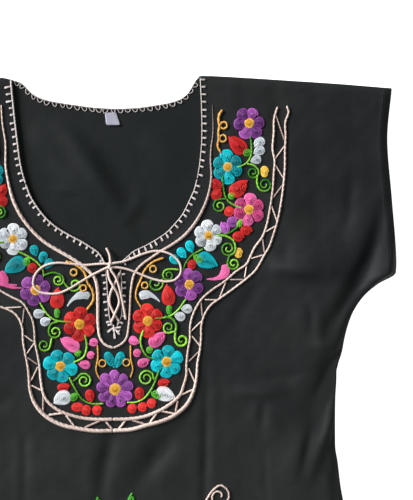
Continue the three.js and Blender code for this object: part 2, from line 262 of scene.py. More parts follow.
@dataclass(frozen=True)
class Fold:
    """A soft fold of the cloth from one point through a second to a third.

    rise is its height above the cloth, below it where negative. lip is the height of the ridge that
    runs beside it, on the right of its direction.
    """

    start: Pair
    via: Pair
    end: Pair
    half: float
    rise: float
    lip: float = 0.0

    PIECES = 12  # straight pieces that stand for the fold's curve
    END_SHARE = 0.3  # of its height that is left at both ends
    LIP_PLACE, LIP_WIDTH = 1.7, 1.1  # as shares of the half width

    def height(self, x: np.ndarray, y: np.ndarray) -> np.ndarray:
        """Height that the fold adds at each place."""
        a, b, c = (np.array(p, float) for p in (self.start, self.via, self.end))
        control = 2 * b - (a + c) / 2
        t = np.linspace(0, 1, self.PIECES + 1)[:, None]
        line = (1 - t) ** 2 * a + 2 * t * (1 - t) * control + t * t * c
        best = np.full(x.shape, 1e9)
        where, side = np.zeros(x.shape), np.zeros(x.shape)
        for i, (p, q) in enumerate(zip(line, line[1:])):
            dx, dy = q - p
            share = np.clip(((x - p[0]) * dx + (y - p[1]) * dy) / (dx * dx + dy * dy), 0, 1)
            away_x, away_y = x - p[0] - share * dx, y - p[1] - share * dy
            distance = np.hypot(away_x, away_y)
            nearer = distance < best
            best = np.where(nearer, distance, best)
            where = np.where(nearer, (i + share) / self.PIECES, where)
            side = np.where(nearer, np.sign(dy * away_x - dx * away_y), side)
        fade = self.END_SHARE + (1 - self.END_SHARE) * np.sin(np.pi * where)
        signed = best * np.where(side == 0, 1, side)
        trough = self.rise * np.exp(-((signed / self.half) ** 2))
        aside = (signed - self.LIP_PLACE * self.half) / (self.LIP_WIDTH * self.half)
        ridge = self.lip * np.exp(-(aside ** 2))
        return fade * (trough + ridge)


@dataclass(frozen=True)
class Ripple:
    """One faint wave of the cloth's unevenness."""

    length: float
    turn: float
    start: float
    height: float


@dataclass
class Drape:
    """Shape of the dress as it lies: its outlines and the heights of both cloth layers, in mm."""

    top: float = 480.0
    hem: float = -485.0
    hem_rise: float = 8.0
    hem_half_width: float = 350.0
    sleeve_end: float = 328.8
    sleeve_top: float = 458.0
    sleeve_foot: float = 246.0
    neck_corner: float = 108.0
    slit_foot: float = 190.0
    centre: float = 1.5
    wall: float = 1.2
    seam_gap: float = 0.3
    loft: float = 3.0
    neck_loft: float = 1.4
    edge_roll: float = 45.0
    seam_roll: float = 9.0
    fold_roll: float = 4.0
    back_fold_roll: float = 22.0
    neck_share: float = 0.15
    softness: float = 0.3
    hem_depth: float = 10.0
    hem_step: float = 0.35
    ripples: list[Ripple] = field(default_factory=list)

    # faint waves: how far they bow, and over what share of their length; how much shows on the back
    BOW, BOW_LENGTH, BACK_WAVES = 0.6, 1.7, 0.5

    # height, half width
    SIDE = (
        (-485, 350), (-300, 318), (-150, 285), (-13, 258.3), (3, 255.9), (31, 253.4), (49, 251.2),
        (68, 251.6), (104, 253), (123, 254.7), (141, 255.8), (150, 259.8), (160, 262.9), (169, 264.8),
        (182, 268.2), (201, 275.5), (220, 288.7), (234, 306), (246, 327), (262, 328.1), (332, 325),
        (395, 321.8), (458, 328.8),
    )
    # height, left edge, right edge
    NECK = (
        (190, 1.5, 1.5), (198, -1, 5), (208, -3, 9.4), (226, -4, 10.4), (247, -4.6, 10.4),
        (260, -5.4, 9.6), (268, -7, 11), (274, -9.5, 18), (280, -13.5, 25), (286, -21.5, 38.7),
        (293, -32, 52), (301, -46, 64.4), (310, -60, 73.5), (321, -72, 83), (338, -84.5, 92),
        (351, -91, 98), (385, -99.9, 105.4), (412, -102.7, 108), (442, -105.3, 108.6),
        (480, -108, 108),
    )
    # place across the back, height
    BACK_NECK = (
        (-108, 482), (-99, 479), (-94, 475), (-90, 470), (-85, 465), (-76, 460), (-63, 456),
        (-40, 451.6), (-12, 447.2), (15, 445.2), (30, 445.4), (57, 448), (71, 450), (85, 454.2),
        (95, 462), (101, 472), (108, 480),
    )
    # distance from the centre, how much higher the left and the right shoulder lie than a line
    SHOULDER = ((108, 2, 0), (122, 6.2, 0.8), (150, 6.6, 1.3), (200, 4.5, 1.6), (260, 1.5, 1.8),
                (328.8, 0, 1))

    FRONT_FOLDS = (
        Fold((305, 319), (274, 260), (233, 188), 24, 3.2),
        Fold((315, 321), (288, 246), (249, 191), 9, -5.4),
        Fold((329, 273), (306, 227), (272, 173), 12, 5),
        Fold((180, 256), (217, 253), (260, 246), 11, 7),
        Fold((201, 270), (235, 270), (270, 277), 22, 4.4),
        Fold((172, 238), (153, 215), (139, 186), 10, -1.4),
        Fold((222, 216), (228, 200), (225, 182), 5, -1.3),
        Fold((240, 195), (237, 179), (238, 160), 6, 0.9),
        Fold((228, 166), (246, 165), (261, 161), 7, 3.6),
        Fold((260, 160), (247, 123), (232, 71), 11, -5),
        Fold((242, 119), (224, 94), (206, 69), 15, -3),
        Fold((259, 134), (255, 107), (252, 79), 7, 3.4),
        Fold((231, 156), (222, 135), (208, 113), 16, 0.9),
        Fold((247, 77), (235, 51), (222, 17), 6.5, 3),
        Fold((226, 75), (218, 48), (211, 18), 5, -1.8),
        Fold((214, 71), (207, 40), (198, 7), 20, 4.8),
        Fold((171, 107), (169, 88), (167, 67), 5, -0.9),
        Fold((175, 102), (179, 76), (183, 46), 11, 1.3),
        Fold((162, 107), (160, 91), (157, 73), 8, 1.2),
        Fold((106, 146), (102, 49), (94, -77), 5.5, -1.8),
        Fold((170, 50), (170, 18), (171, -13), 4, -0.7),
        Fold((248, 24), (249, -1), (254, -59), 5, -2),
        Fold((134, 115), (164, 113), (194, 112), 7, 3.6),
        Fold((218, 223), (214, 178), (208, 136), 40, 2.6),
        Fold((-65, 66), (-67, -3), (-71, -118), 130, 4.2),
        Fold((159, 133), (190, 131), (220, 133), 7, -2),
        Fold((279, 355), (276, 326), (268, 290), 7, -1.3),
        Fold((67, 72), (43, 40), (12, 8), 13, -4.0, 1),
        Fold((-2, 73), (-13, 41), (-22, -27), 9, -2.8, 0.4),
        Fold((-104, 67), (-106, 44), (-110, -71), 5, -0.8, 0.3),
        Fold((214, 410), (206, 330), (214, 262), 26, 1.6),
        Fold((190, 460), (196, 430), (204, 396), 9, -0.9),
        Fold((-313, 346), (-294, 272), (-246, 196), 9, -4.6),
        Fold((-304, 330), (-286, 270), (-238, 206), 22, 3.4),
        Fold((-230, 300), (-186, 262), (-148, 226), 9, -3.1),
        Fold((-250, 270), (-220, 256), (-190, 238), 9, 4.0),
        Fold((-262, 150), (-246, 118), (-236, 66), 9, -3.4, 2.0),
        Fold((-128, 108), (-170, 109), (-216, 111), 5.5, -2.1),
        Fold((-130, 126), (-172, 126), (-214, 127), 7, 2.7),
        Fold((-190, 60), (-205, -100), (-216, -300), 17, 4.6),
        Fold((-60, -30), (-78, -200), (-84, -430), 16, -3.2),
        Fold((20, -60), (24, -240), (14, -455), 18, 5.0),
        Fold((120, -90), (136, -260), (160, -450), 15, -3.2),
        Fold((226, -60), (246, -230), (262, -440), 16, 4.4),
        Fold((-290, -230), (-282, -330), (-276, -440), 14, -2.8),
        Fold((-150, -240), (-152, -340), (-148, -465), 15, 4.2),
        Fold((70, -200), (78, -320), (84, -460), 12, 3.2),
        Fold((200, -330), (210, -400), (214, -466), 10, -2.2),
    )
    BACK_FOLDS = (
        Fold((-53, 422), (-22, 382), (15, 321), 13, 5.6, 1.8),
        Fold((-60, 376), (-29, 355), (-2, 333), 15, 2.4),
        Fold((-66, 356), (-54, 352), (-40, 350), 5, 1.2),
        Fold((40, 420), (62, 396), (84, 380), 14, 1.2),
        Fold((-88, 420), (-70, 408), (-60, 390), 12, 1.2),
        Fold((36, 350), (30, 332), (16, 316), 8, 1.6),
    )

    def __post_init__(self) -> None:
        """Draws the faint unevenness of the cloth from a fixed seed."""
        draw = np.random.default_rng(7)
        for length in np.geomspace(14, 95, 16):
            self.ripples.append(Ripple(length, draw.uniform(0, math.pi), draw.uniform(0, math.tau),
                                       0.0024 * length))

    def side(self, y: np.ndarray | float) -> np.ndarray:
        """Half width of the garment at a height."""
        return column(self.SIDE, 1, y)

    def neck(self, y: np.ndarray | float, right: np.ndarray | bool) -> np.ndarray:
        """Edge of the neck opening or slit at a height, on one side."""
        return np.where(right, column(self.NECK, 2, y), column(self.NECK, 1, y))

    def ease(self, x: np.ndarray | float) -> np.ndarray:
        """How much higher a shoulder lies than a straight line."""
        left, right = (column(self.SHOULDER, side, np.abs(x)) for side in (1, 2))
        return np.where(np.asarray(x) < 0, left, right)

    def shoulder(self, x: np.ndarray | float) -> np.ndarray:
        """Height of the shoulder seam across the dress."""
        slope = (self.top - self.sleeve_top) / (self.sleeve_end - self.neck_corner)
        return self.top + self.ease(x) - slope * (np.abs(x) - self.neck_corner)

    def hem_at(self, x: np.ndarray | float) -> np.ndarray:
        """Height of the hem by distance from the centre."""
        return self.hem + self.hem_rise * (np.asarray(x) / self.hem_half_width) ** 2

    def back_top(self, x: np.ndarray) -> np.ndarray:
        """Top edge of the back: its neckline between the neck corners, the shoulders beyond."""
        return np.where(np.abs(x) < self.neck_corner, column(self.BACK_NECK, 1, x), self.shoulder(x))

    def hem_bow(self, x: np.ndarray | float, height: float) -> np.ndarray | float:
        """How far a row of the cloth near the hem follows its curve."""
        return self.hem_at(x) - self.hem if height < self.hem + 30 else 0.0 * x

    def fan(self, height: float) -> Pair:
        """How far up the sleeve a row begins, from 0 to 1, and the height where it ends at the side."""
        part = max(0.0, (height - self.sleeve_foot) / (self.top - self.sleeve_foot))
        return part, (self.sleeve_foot + part * (self.sleeve_top - self.sleeve_foot) if part else height)

    def from_side(self, x: np.ndarray, y: np.ndarray) -> np.ndarray:
        """Distance from the side seam or sleeve opening."""
        lean = (self.side(y + 1) - self.side(y - 1)) / 2
        return (self.side(y) - np.abs(x)) / np.hypot(1, lean)

    def freedom(self, x: np.ndarray, y: np.ndarray, reach: float) -> np.ndarray:
        """How freely the front may leave the back: 0 at its seams, 1 further in than the reach."""
        return (rise(self.from_side(x, y), reach) * rise(self.shoulder(x) - y, reach)
                * rise(y - self.hem_at(x), reach))

    def from_neck(self, x: np.ndarray, y: np.ndarray) -> np.ndarray:
        """Distance across from the neck edge or slit, negative inside the opening."""
        edge = self.neck(y, x > self.centre)
        across = np.abs(x - self.centre) - np.abs(edge - self.centre)
        return np.where(y < self.slit_foot, self.edge_roll, across)

    def unevenness(self, x: np.ndarray, y: np.ndarray) -> np.ndarray:
        """Sum of the faint waves."""
        total = np.zeros(np.shape(x))
        for wave in self.ripples:
            run = x * math.cos(wave.turn) + y * math.sin(wave.turn)
            bow = self.BOW * np.sin(y / (wave.length * self.BOW_LENGTH) + wave.start)
            total += wave.height * np.sin(math.tau * run / wave.length + wave.start + bow)
        return total

    def front_under(self, x: np.ndarray, y: np.ndarray) -> np.ndarray:
        """Height of the front panel's lower face."""
        inner = rise(self.from_neck(x, y), self.edge_roll)
        standing = self.neck_loft + (self.loft - self.neck_loft) * inner
        folds = sum(fold.height(x, y) for fold in self.FRONT_FOLDS)
        calm = self.neck_share + (1 - self.neck_share) * inner
        wavy = (folds + self.unevenness(x, y)) * calm * self.freedom(x, y, self.fold_roll)
        height = standing * self.freedom(x, y, self.seam_roll) + wavy
        return self.wall + self.seam_gap + 0.5 * (height + np.sqrt(height ** 2 + self.softness))

    def front_face(self, x: np.ndarray, y: np.ndarray) -> np.ndarray:
        """Height of the front panel's upper face, with its turned sleeve hems."""
        turned = 1 - rise(self.from_side(x, y) - self.hem_depth + 1, 2.0)
        sleeve = turned * (np.asarray(y) > self.sleeve_foot) * self.hem_step
        bottom = (1 - rise(y - self.hem_at(x) - 2 * self.hem_depth + 1, 2.0)) * self.hem_step
        return self.front_under(x, y) + self.wall + sleeve + bottom

    def back_under(self, x: np.ndarray, y: np.ndarray) -> np.ndarray:
        """Height of the back panel's lower face, which rests flat but for folds in the neck."""
        in_neck = rise(-self.from_neck(x, y), self.back_fold_roll) * (np.asarray(y) > self.slit_foot)
        folds = sum(fold.height(x, y) for fold in self.BACK_FOLDS)
        return np.maximum(0, folds + self.BACK_WAVES * self.unevenness(x, y)) * in_neck

    def back_face(self, x: np.ndarray, y: np.ndarray) -> np.ndarray:
        """Height of the back panel's upper face."""
        return self.back_under(x, y) + self.wall


# ---------------------------------------------------------------- shader groups and finishes


class Nodes:
    """A node tree with short ways to add and join its nodes."""

    def __init__(self, tree: bpy.types.NodeTree) -> None:
        """Keeps the tree."""
        self.tree = tree

    def join(self, socket: bpy.types.NodeSocket, value: object) -> None:
        """Joins an input to an output, or sets its value."""
        if isinstance(value, bpy.types.NodeSocket):
            self.tree.links.new(value, socket)
        else:
            socket.default_value = value

    def feed(self, node: bpy.types.Node, values: dict[str, object]) -> None:
        """Joins or sets some of a node's inputs by name."""
        for name, value in values.items():
            self.join(node.inputs[name], value)

    def add(self, kind: str, values: dict[str, object] | None = None, **settings: object) -> bpy.types.Node:
        """Adds a node, sets its properties and feeds its inputs."""
        node = self.tree.nodes.new(kind)
        for name, value in settings.items():
            setattr(node, name, value)
        self.feed(node, values or {})
        return node

    def math(self, operation: str, *values: object) -> bpy.types.NodeSocket:
        """Adds a Math node and returns its output."""
        node = self.add("ShaderNodeMath", operation=operation)
        for socket, value in zip(node.inputs, values):
            self.join(socket, value)
        return node.outputs[0]

    def noise(self, place: bpy.types.NodeSocket, scale: object, detail: float) -> bpy.types.NodeSocket:
        """Adds a Noise Texture node and returns its factor."""
        return self.add("ShaderNodeTexNoise", {"Vector": place, "Scale": scale, "Detail": detail,
                                               "Roughness": 0.55}).outputs["Fac"]

    def split(self, vector: bpy.types.NodeSocket) -> Sequence[bpy.types.NodeSocket]:
        """Parts of a vector along the three axes."""
        return self.add("ShaderNodeSeparateXYZ", {"Vector": vector}).outputs

    def use(self, tree: bpy.types.NodeTree, values: dict[str, object]) -> Sequence[bpy.types.NodeSocket]:
        """Adds a group, feeds its inputs and returns its outputs."""
        return self.add("ShaderNodeGroup", values, node_tree=tree).outputs


class Group(Nodes):
    """A node group with named sockets, for shaders or for geometry."""

    def __init__(self, name: str, kind: str, inputs: dict[str, tuple[str, object]],
                 outputs: Sequence[str]) -> None:
        """Starts the group.

        Args:
            name: Name of the group.
            kind: Shader or Geometry.
            inputs: Socket type and default value by name.
            outputs: Names of its outputs, which are numbers in a shader group.
        """
        super().__init__(bpy.data.node_groups.new(name, kind + "NodeTree"))
        face = self.tree.interface
        for key, (socket, value) in inputs.items():
            made = face.new_socket(key, in_out="INPUT", socket_type="NodeSocket" + socket)
            if value is not None:
                made.default_value = value
        result = "NodeSocketFloat" if kind == "Shader" else "NodeSocketGeometry"
        for key in outputs:
            face.new_socket(key, in_out="OUTPUT", socket_type=result)
        self.source, self.sink = self.add("NodeGroupInput"), self.add("NodeGroupOutput")

    def given(self, name: str) -> bpy.types.NodeSocket:
        """One of the group's inputs."""
        return self.source.outputs[name]

    def close(self, **values: object) -> bpy.types.NodeTree:
        """Feeds the group's outputs and returns its tree."""
        self.feed(self.sink, values)
        return self.tree

    def dress(self, shape: bpy.types.NodeSocket) -> bpy.types.NodeTree:
        """Closes a geometry group with real geometry in the given material."""
        real = self.add("GeometryNodeRealizeInstances", {"Geometry": shape})
        dressed = self.add("GeometryNodeSetMaterial", {"Geometry": real.outputs["Geometry"],
                                                       "Material": self.given("Material")})
        return self.close(Geometry=dressed.outputs["Geometry"])


class Look(Nodes):
    """A material's tree with its Principled BSDF."""

    def __init__(self, name: str) -> None:
        """Starts the material."""
        self.material = bpy.data.materials.new(name)
        self.material.use_nodes = True
        super().__init__(self.material.node_tree)
        self.tree.nodes.clear()
        self.shader = self.add("ShaderNodeBsdfPrincipled")
        self.add("ShaderNodeOutputMaterial", {"Surface": self.shader.outputs["BSDF"]})
        self.place = self.add("ShaderNodeTexCoord").outputs["Object"]

    def bump(self, height: bpy.types.NodeSocket, distance: float, strength: float) -> None:
        """Feeds a height into the shader's normal."""
        node = self.add("ShaderNodeBump", {"Distance": distance, "Strength": strength, "Height": height})
        self.feed(self.shader, {"Normal": node.outputs["Normal"]})


def plain_weave_group() -> bpy.types.NodeTree:
    """Plain weave: crossing threads with uneven slubs, as a height and a lightness mask."""
    nodes = Group("PlainWeave", "Shader", {"Vector": ("Vector", None), "Threads per metre": ("Float", 1500.0),
                                           "Slub": ("Float", 0.5)}, ("Height", "Lightness"))
    place = nodes.given("Vector")
    turns = nodes.math("MULTIPLY", nodes.given("Threads per metre"), math.pi)
    waves = [nodes.math("SINE", nodes.math("MULTIPLY", part, turns)) for part in nodes.split(place)[:2]]
    long, fine, streaks = 14.0, 260.0, []
    for stretch in ((long, fine, long), (fine, long, long)):
        mapping = nodes.add("ShaderNodeMapping", {"Vector": place, "Scale": stretch})
        streaks.append(nodes.noise(mapping.outputs[0], 3.0, 4.0))
    slub = nodes.math("MULTIPLY", nodes.math("ADD", *streaks), nodes.given("Slub"))
    cross = nodes.math("MULTIPLY", nodes.math("MULTIPLY", *waves), 0.35)
    return nodes.close(Height=nodes.math("ADD", cross, slub), Lightness=slub)


def mottling_group() -> bpy.types.NodeTree:
    """Faint uneven wear and dust over a surface, as a mask around one half."""
    nodes = Group("Mottling", "Shader", {"Vector": ("Vector", None), "Scale": ("Float", 9.0)}, ("Mask",))
    place, scale = nodes.given("Vector"), nodes.given("Scale")
    broad = nodes.math("MULTIPLY", nodes.noise(place, scale, 3.0), 0.75)
    fine = nodes.math("MULTIPLY", nodes.noise(place, nodes.math("MULTIPLY", scale, 30.0), 2.0), 0.25)
    return nodes.close(Mask=nodes.math("ADD", broad, fine))


def fading_group() -> bpy.types.NodeTree:
    """Painted light: a mask that grows, unevenly, from the bust down to the skirt and lightens the cloth
    there.
    """
    nodes = Group("PaintedLight", "Shader", {"Vector": ("Vector", None), "Top": ("Float", 0.24),
                                       "Foot": ("Float", 0.0)}, ("Mask",))
    place = nodes.given("Vector")
    uneven = nodes.math("MULTIPLY_ADD", nodes.noise(place, 5.0, 2.0), 0.16, -0.08)
    ramp = nodes.add("ShaderNodeMapRange", {
        "Value": nodes.math("ADD", nodes.split(place)[1], uneven), "From Min": nodes.given("Top"),
        "From Max": nodes.given("Foot")}, interpolation_type="SMOOTHSTEP")
    return nodes.close(Mask=ramp.outputs["Result"])


def ply_group() -> bpy.types.NodeTree:
    """Twist of a plied thread, from how far along it and which way round a place is, with the grooves between
    its plies as a mask for painted shade.
    """
    nodes = Group("Ply", "Shader", {"Twist length": ("Float", 0.0016)}, ("Height", "Groove"))
    run = nodes.add("ShaderNodeAttribute", attribute_name="run").outputs["Fac"]
    rim = nodes.add("ShaderNodeAttribute", attribute_name="rim").outputs["Vector"]
    x, y = nodes.split(rim)[:2]
    double_cos = nodes.math("SUBTRACT", nodes.math("MULTIPLY", x, x), nodes.math("MULTIPLY", y, y))
    double_sin = nodes.math("MULTIPLY", nodes.math("MULTIPLY", x, y), 2.0)
    angle = nodes.math("MULTIPLY", nodes.math("DIVIDE", run, nodes.given("Twist length")), math.tau)
    wave = nodes.math("ADD", nodes.math("MULTIPLY", nodes.math("SINE", angle), double_cos),
                      nodes.math("MULTIPLY", nodes.math("COSINE", angle), double_sin))
    height = nodes.math("MULTIPLY_ADD", wave, 0.5, 0.5)
    return nodes.close(Height=height, Groove=nodes.math("SUBTRACT", 1.0, height))


class Effects:
    """The shader groups that several finishes share, each built once."""

    def __init__(self) -> None:
        """Builds the groups."""
        self.weave, self.mottling = plain_weave_group(), mottling_group()
        self.fading, self.ply = fading_group(), ply_group()


@dataclass(frozen=True)
class ClothFinish:
    """Plain-weave cotton or tape: two tones, weave and sheen."""

    name: str
    dark: Colour
    light: Colour
    threads_per_metre: float
    roughness: float = 0.88
    specular: float = 0.12
    sheen: float = 0.12
    relief: float = 0.00012

    # the third mask is painted light, which makes the cloth lighter from the bust down to the skirt
    WEAR, SLUB, FADING = 0.6, 0.55, 0.11  # how much each mask lightens the cloth
    DARKEST, LIGHTEST = 0.35, 0.85  # sums of the masks that give the two tones
    WEAVE_STRENGTH = 0.6

    def build(self, effects: Effects) -> bpy.types.Material:
        """Makes the material."""
        look = Look(self.name)
        weave = look.use(effects.weave, {"Vector": look.place, "Threads per metre": self.threads_per_metre})
        wear = look.math("MULTIPLY", look.use(effects.mottling, {"Vector": look.place})["Mask"], self.WEAR)
        slub = look.math("MULTIPLY", weave["Lightness"], self.SLUB)
        # painted light: the cloth grows lighter towards the skirt
        painted_light_share = look.math("MULTIPLY", look.use(effects.fading, {"Vector": look.place})["Mask"], self.FADING)
        share = look.math("ADD", look.math("ADD", wear, slub), painted_light_share)
        ramp = look.add("ShaderNodeMapRange", {"From Min": self.DARKEST, "From Max": self.LIGHTEST,
                                               "Value": share})
        mix = look.add("ShaderNodeMix", {"Factor": ramp.outputs["Result"], "A": (*linear(self.dark), 1),
                                         "B": (*linear(self.light), 1)}, data_type="RGBA")
        look.feed(look.shader, {
            "Base Color": mix.outputs["Result"], "Roughness": self.roughness,
            "Specular IOR Level": self.specular, "Sheen Weight": self.sheen, "Sheen Roughness": 0.5})
        look.bump(weave["Height"], self.relief, self.WEAVE_STRENGTH)
        return look.material


@dataclass(frozen=True)
class FlossFinish:
    """Lustrous plied thread that takes its colour from the stitch."""

    name: str
    twist: float
    roughness: float
    specular: float
    # how much darker the grooves between the plies are painted: a painted shade
    groove_shade: float
    relief: float

    FUZZ = 0.2  # spread of the roughness
    TWIST_STRENGTH = 0.7

    def build(self, effects: Effects) -> bpy.types.Material:
        """Makes the material."""
        look = Look(self.name)
        tone = look.add("ShaderNodeAttribute", attribute_name="tone").outputs["Color"]
        ply = look.use(effects.ply, {"Twist length": self.twist})
        # painted shade: the colour is darkened in the grooves between the plies
        dim = look.math("MULTIPLY_ADD", ply["Groove"], -self.groove_shade, 1.0)
        grey = look.add("ShaderNodeCombineColor", {"Red": dim, "Green": dim, "Blue": dim}).outputs["Color"]
        mix = look.add("ShaderNodeMix", {"Factor": 1.0, "A": tone, "B": grey}, data_type="RGBA",
                       blend_type="MULTIPLY")
        fuzz = look.use(effects.mottling, {"Vector": look.place, "Scale": 60.0})
        look.feed(look.shader, {
            "Base Color": mix.outputs["Result"], "Specular IOR Level": self.specular,
            "Roughness": look.math("MULTIPLY_ADD", fuzz["Mask"], self.FUZZ, self.roughness - self.FUZZ / 2)})
        look.bump(ply["Height"], self.relief, self.TWIST_STRENGTH)
        return look.material


# ---------------------------------------------------------------- threads


def thread_tubes_tree() -> bpy.types.NodeTree:
    """Geometry Nodes: each run of edges becomes a closed tube as thick as its girth says."""
    nodes = Group("ThreadTubes", "Geometry", {"Geometry": ("Geometry", None), "Sides": ("Int", 5),
                                              "Material": ("Material", None)}, ("Geometry",))

    def keep(name: str, kind: str, shape: bpy.types.NodeSocket,
             value: bpy.types.NodeSocket) -> bpy.types.NodeSocket:
        """Stores a value for each point under a name."""
        return nodes.add("GeometryNodeStoreNamedAttribute", {"Name": name, "Geometry": shape, "Value": value},
                         data_type=kind, domain="POINT").outputs["Geometry"]

    curve = nodes.add("GeometryNodeMeshToCurve", {"Mesh": nodes.given("Geometry")}).outputs["Curve"]
    girth = nodes.add("GeometryNodeInputNamedAttribute", {"Name": "girth"},
                      data_type="FLOAT").outputs["Attribute"]
    thick = nodes.add("GeometryNodeSetCurveRadius", {"Curve": curve, "Radius": girth}).outputs["Curve"]
    run = keep("run", "FLOAT", thick, nodes.add("GeometryNodeSplineParameter").outputs["Length"])
    ring = nodes.add("GeometryNodeCurvePrimitiveCircle", {"Resolution": nodes.given("Sides"), "Radius": 1.0})
    rim = keep("rim", "FLOAT_VECTOR", ring.outputs["Curve"],
               nodes.add("GeometryNodeInputPosition").outputs["Position"])
    tube = nodes.add("GeometryNodeCurveToMesh", {"Curve": run, "Profile Curve": rim, "Fill Caps": True})
    if "Scale" in tube.inputs:
        nodes.feed(tube, {"Scale": girth})
    smooth = nodes.add("GeometryNodeSetShadeSmooth", {"Geometry": tube.outputs["Mesh"]})
    return nodes.dress(smooth.outputs["Geometry"])


def hem_stitch_tree() -> bpy.types.NodeTree:
    """Geometry Nodes: short raised stitches at an even pitch along a path of edges."""
    nodes = Group("HemStitches", "Geometry", {
        "Geometry": ("Geometry", None), "Pitch": ("Float", 0.0034), "Stitch length": ("Float", 0.0026),
        "Thread radius": ("Float", 0.0003), "Material": ("Material", None)}, ("Geometry",))
    curve = nodes.add("GeometryNodeMeshToCurve", {"Mesh": nodes.given("Geometry")}).outputs["Curve"]
    spaced = nodes.add("GeometryNodeResampleCurve", {"Curve": curve, "Length": nodes.given("Pitch")},
                       mode="LENGTH")
    pill = nodes.add("GeometryNodeMeshCylinder", {
        "Vertices": 6, "Radius": nodes.given("Thread radius"), "Depth": nodes.given("Stitch length")},
                     fill_type="TRIANGLE_FAN")
    ahead = nodes.add("GeometryNodeInputTangent").outputs["Tangent"]
    turn = nodes.add("FunctionNodeAlignRotationToVector", {"Vector": ahead}, axis="Z")
    copies = nodes.add("GeometryNodeInstanceOnPoints", {
        "Points": spaced.outputs["Curve"], "Instance": pill.outputs["Mesh"],
        "Rotation": turn.outputs["Rotation"]})
    return nodes.dress(copies.outputs["Instances"])


def apply_tree(made: bpy.types.Object, tree: bpy.types.NodeTree, values: dict[str, object]) -> None:
    """Runs a Geometry Nodes tree on an object and keeps the result as its plain mesh."""
    modifier = made.modifiers.new(tree.name, "NODES")
    modifier.node_group = tree
    names = {s.name: s.identifier for s in tree.interface.items_tree if s.in_out == "INPUT"}
    for name, value in values.items():
        modifier[names[name]] = value
    graph = bpy.context.evaluated_depsgraph_get()
    mesh = bpy.data.meshes.new_from_object(made.evaluated_get(graph), depsgraph=graph)
    made.modifiers.remove(modifier)
    old, made.data = made.data, mesh
    mesh.name = made.name
    bpy.data.meshes.remove(old)


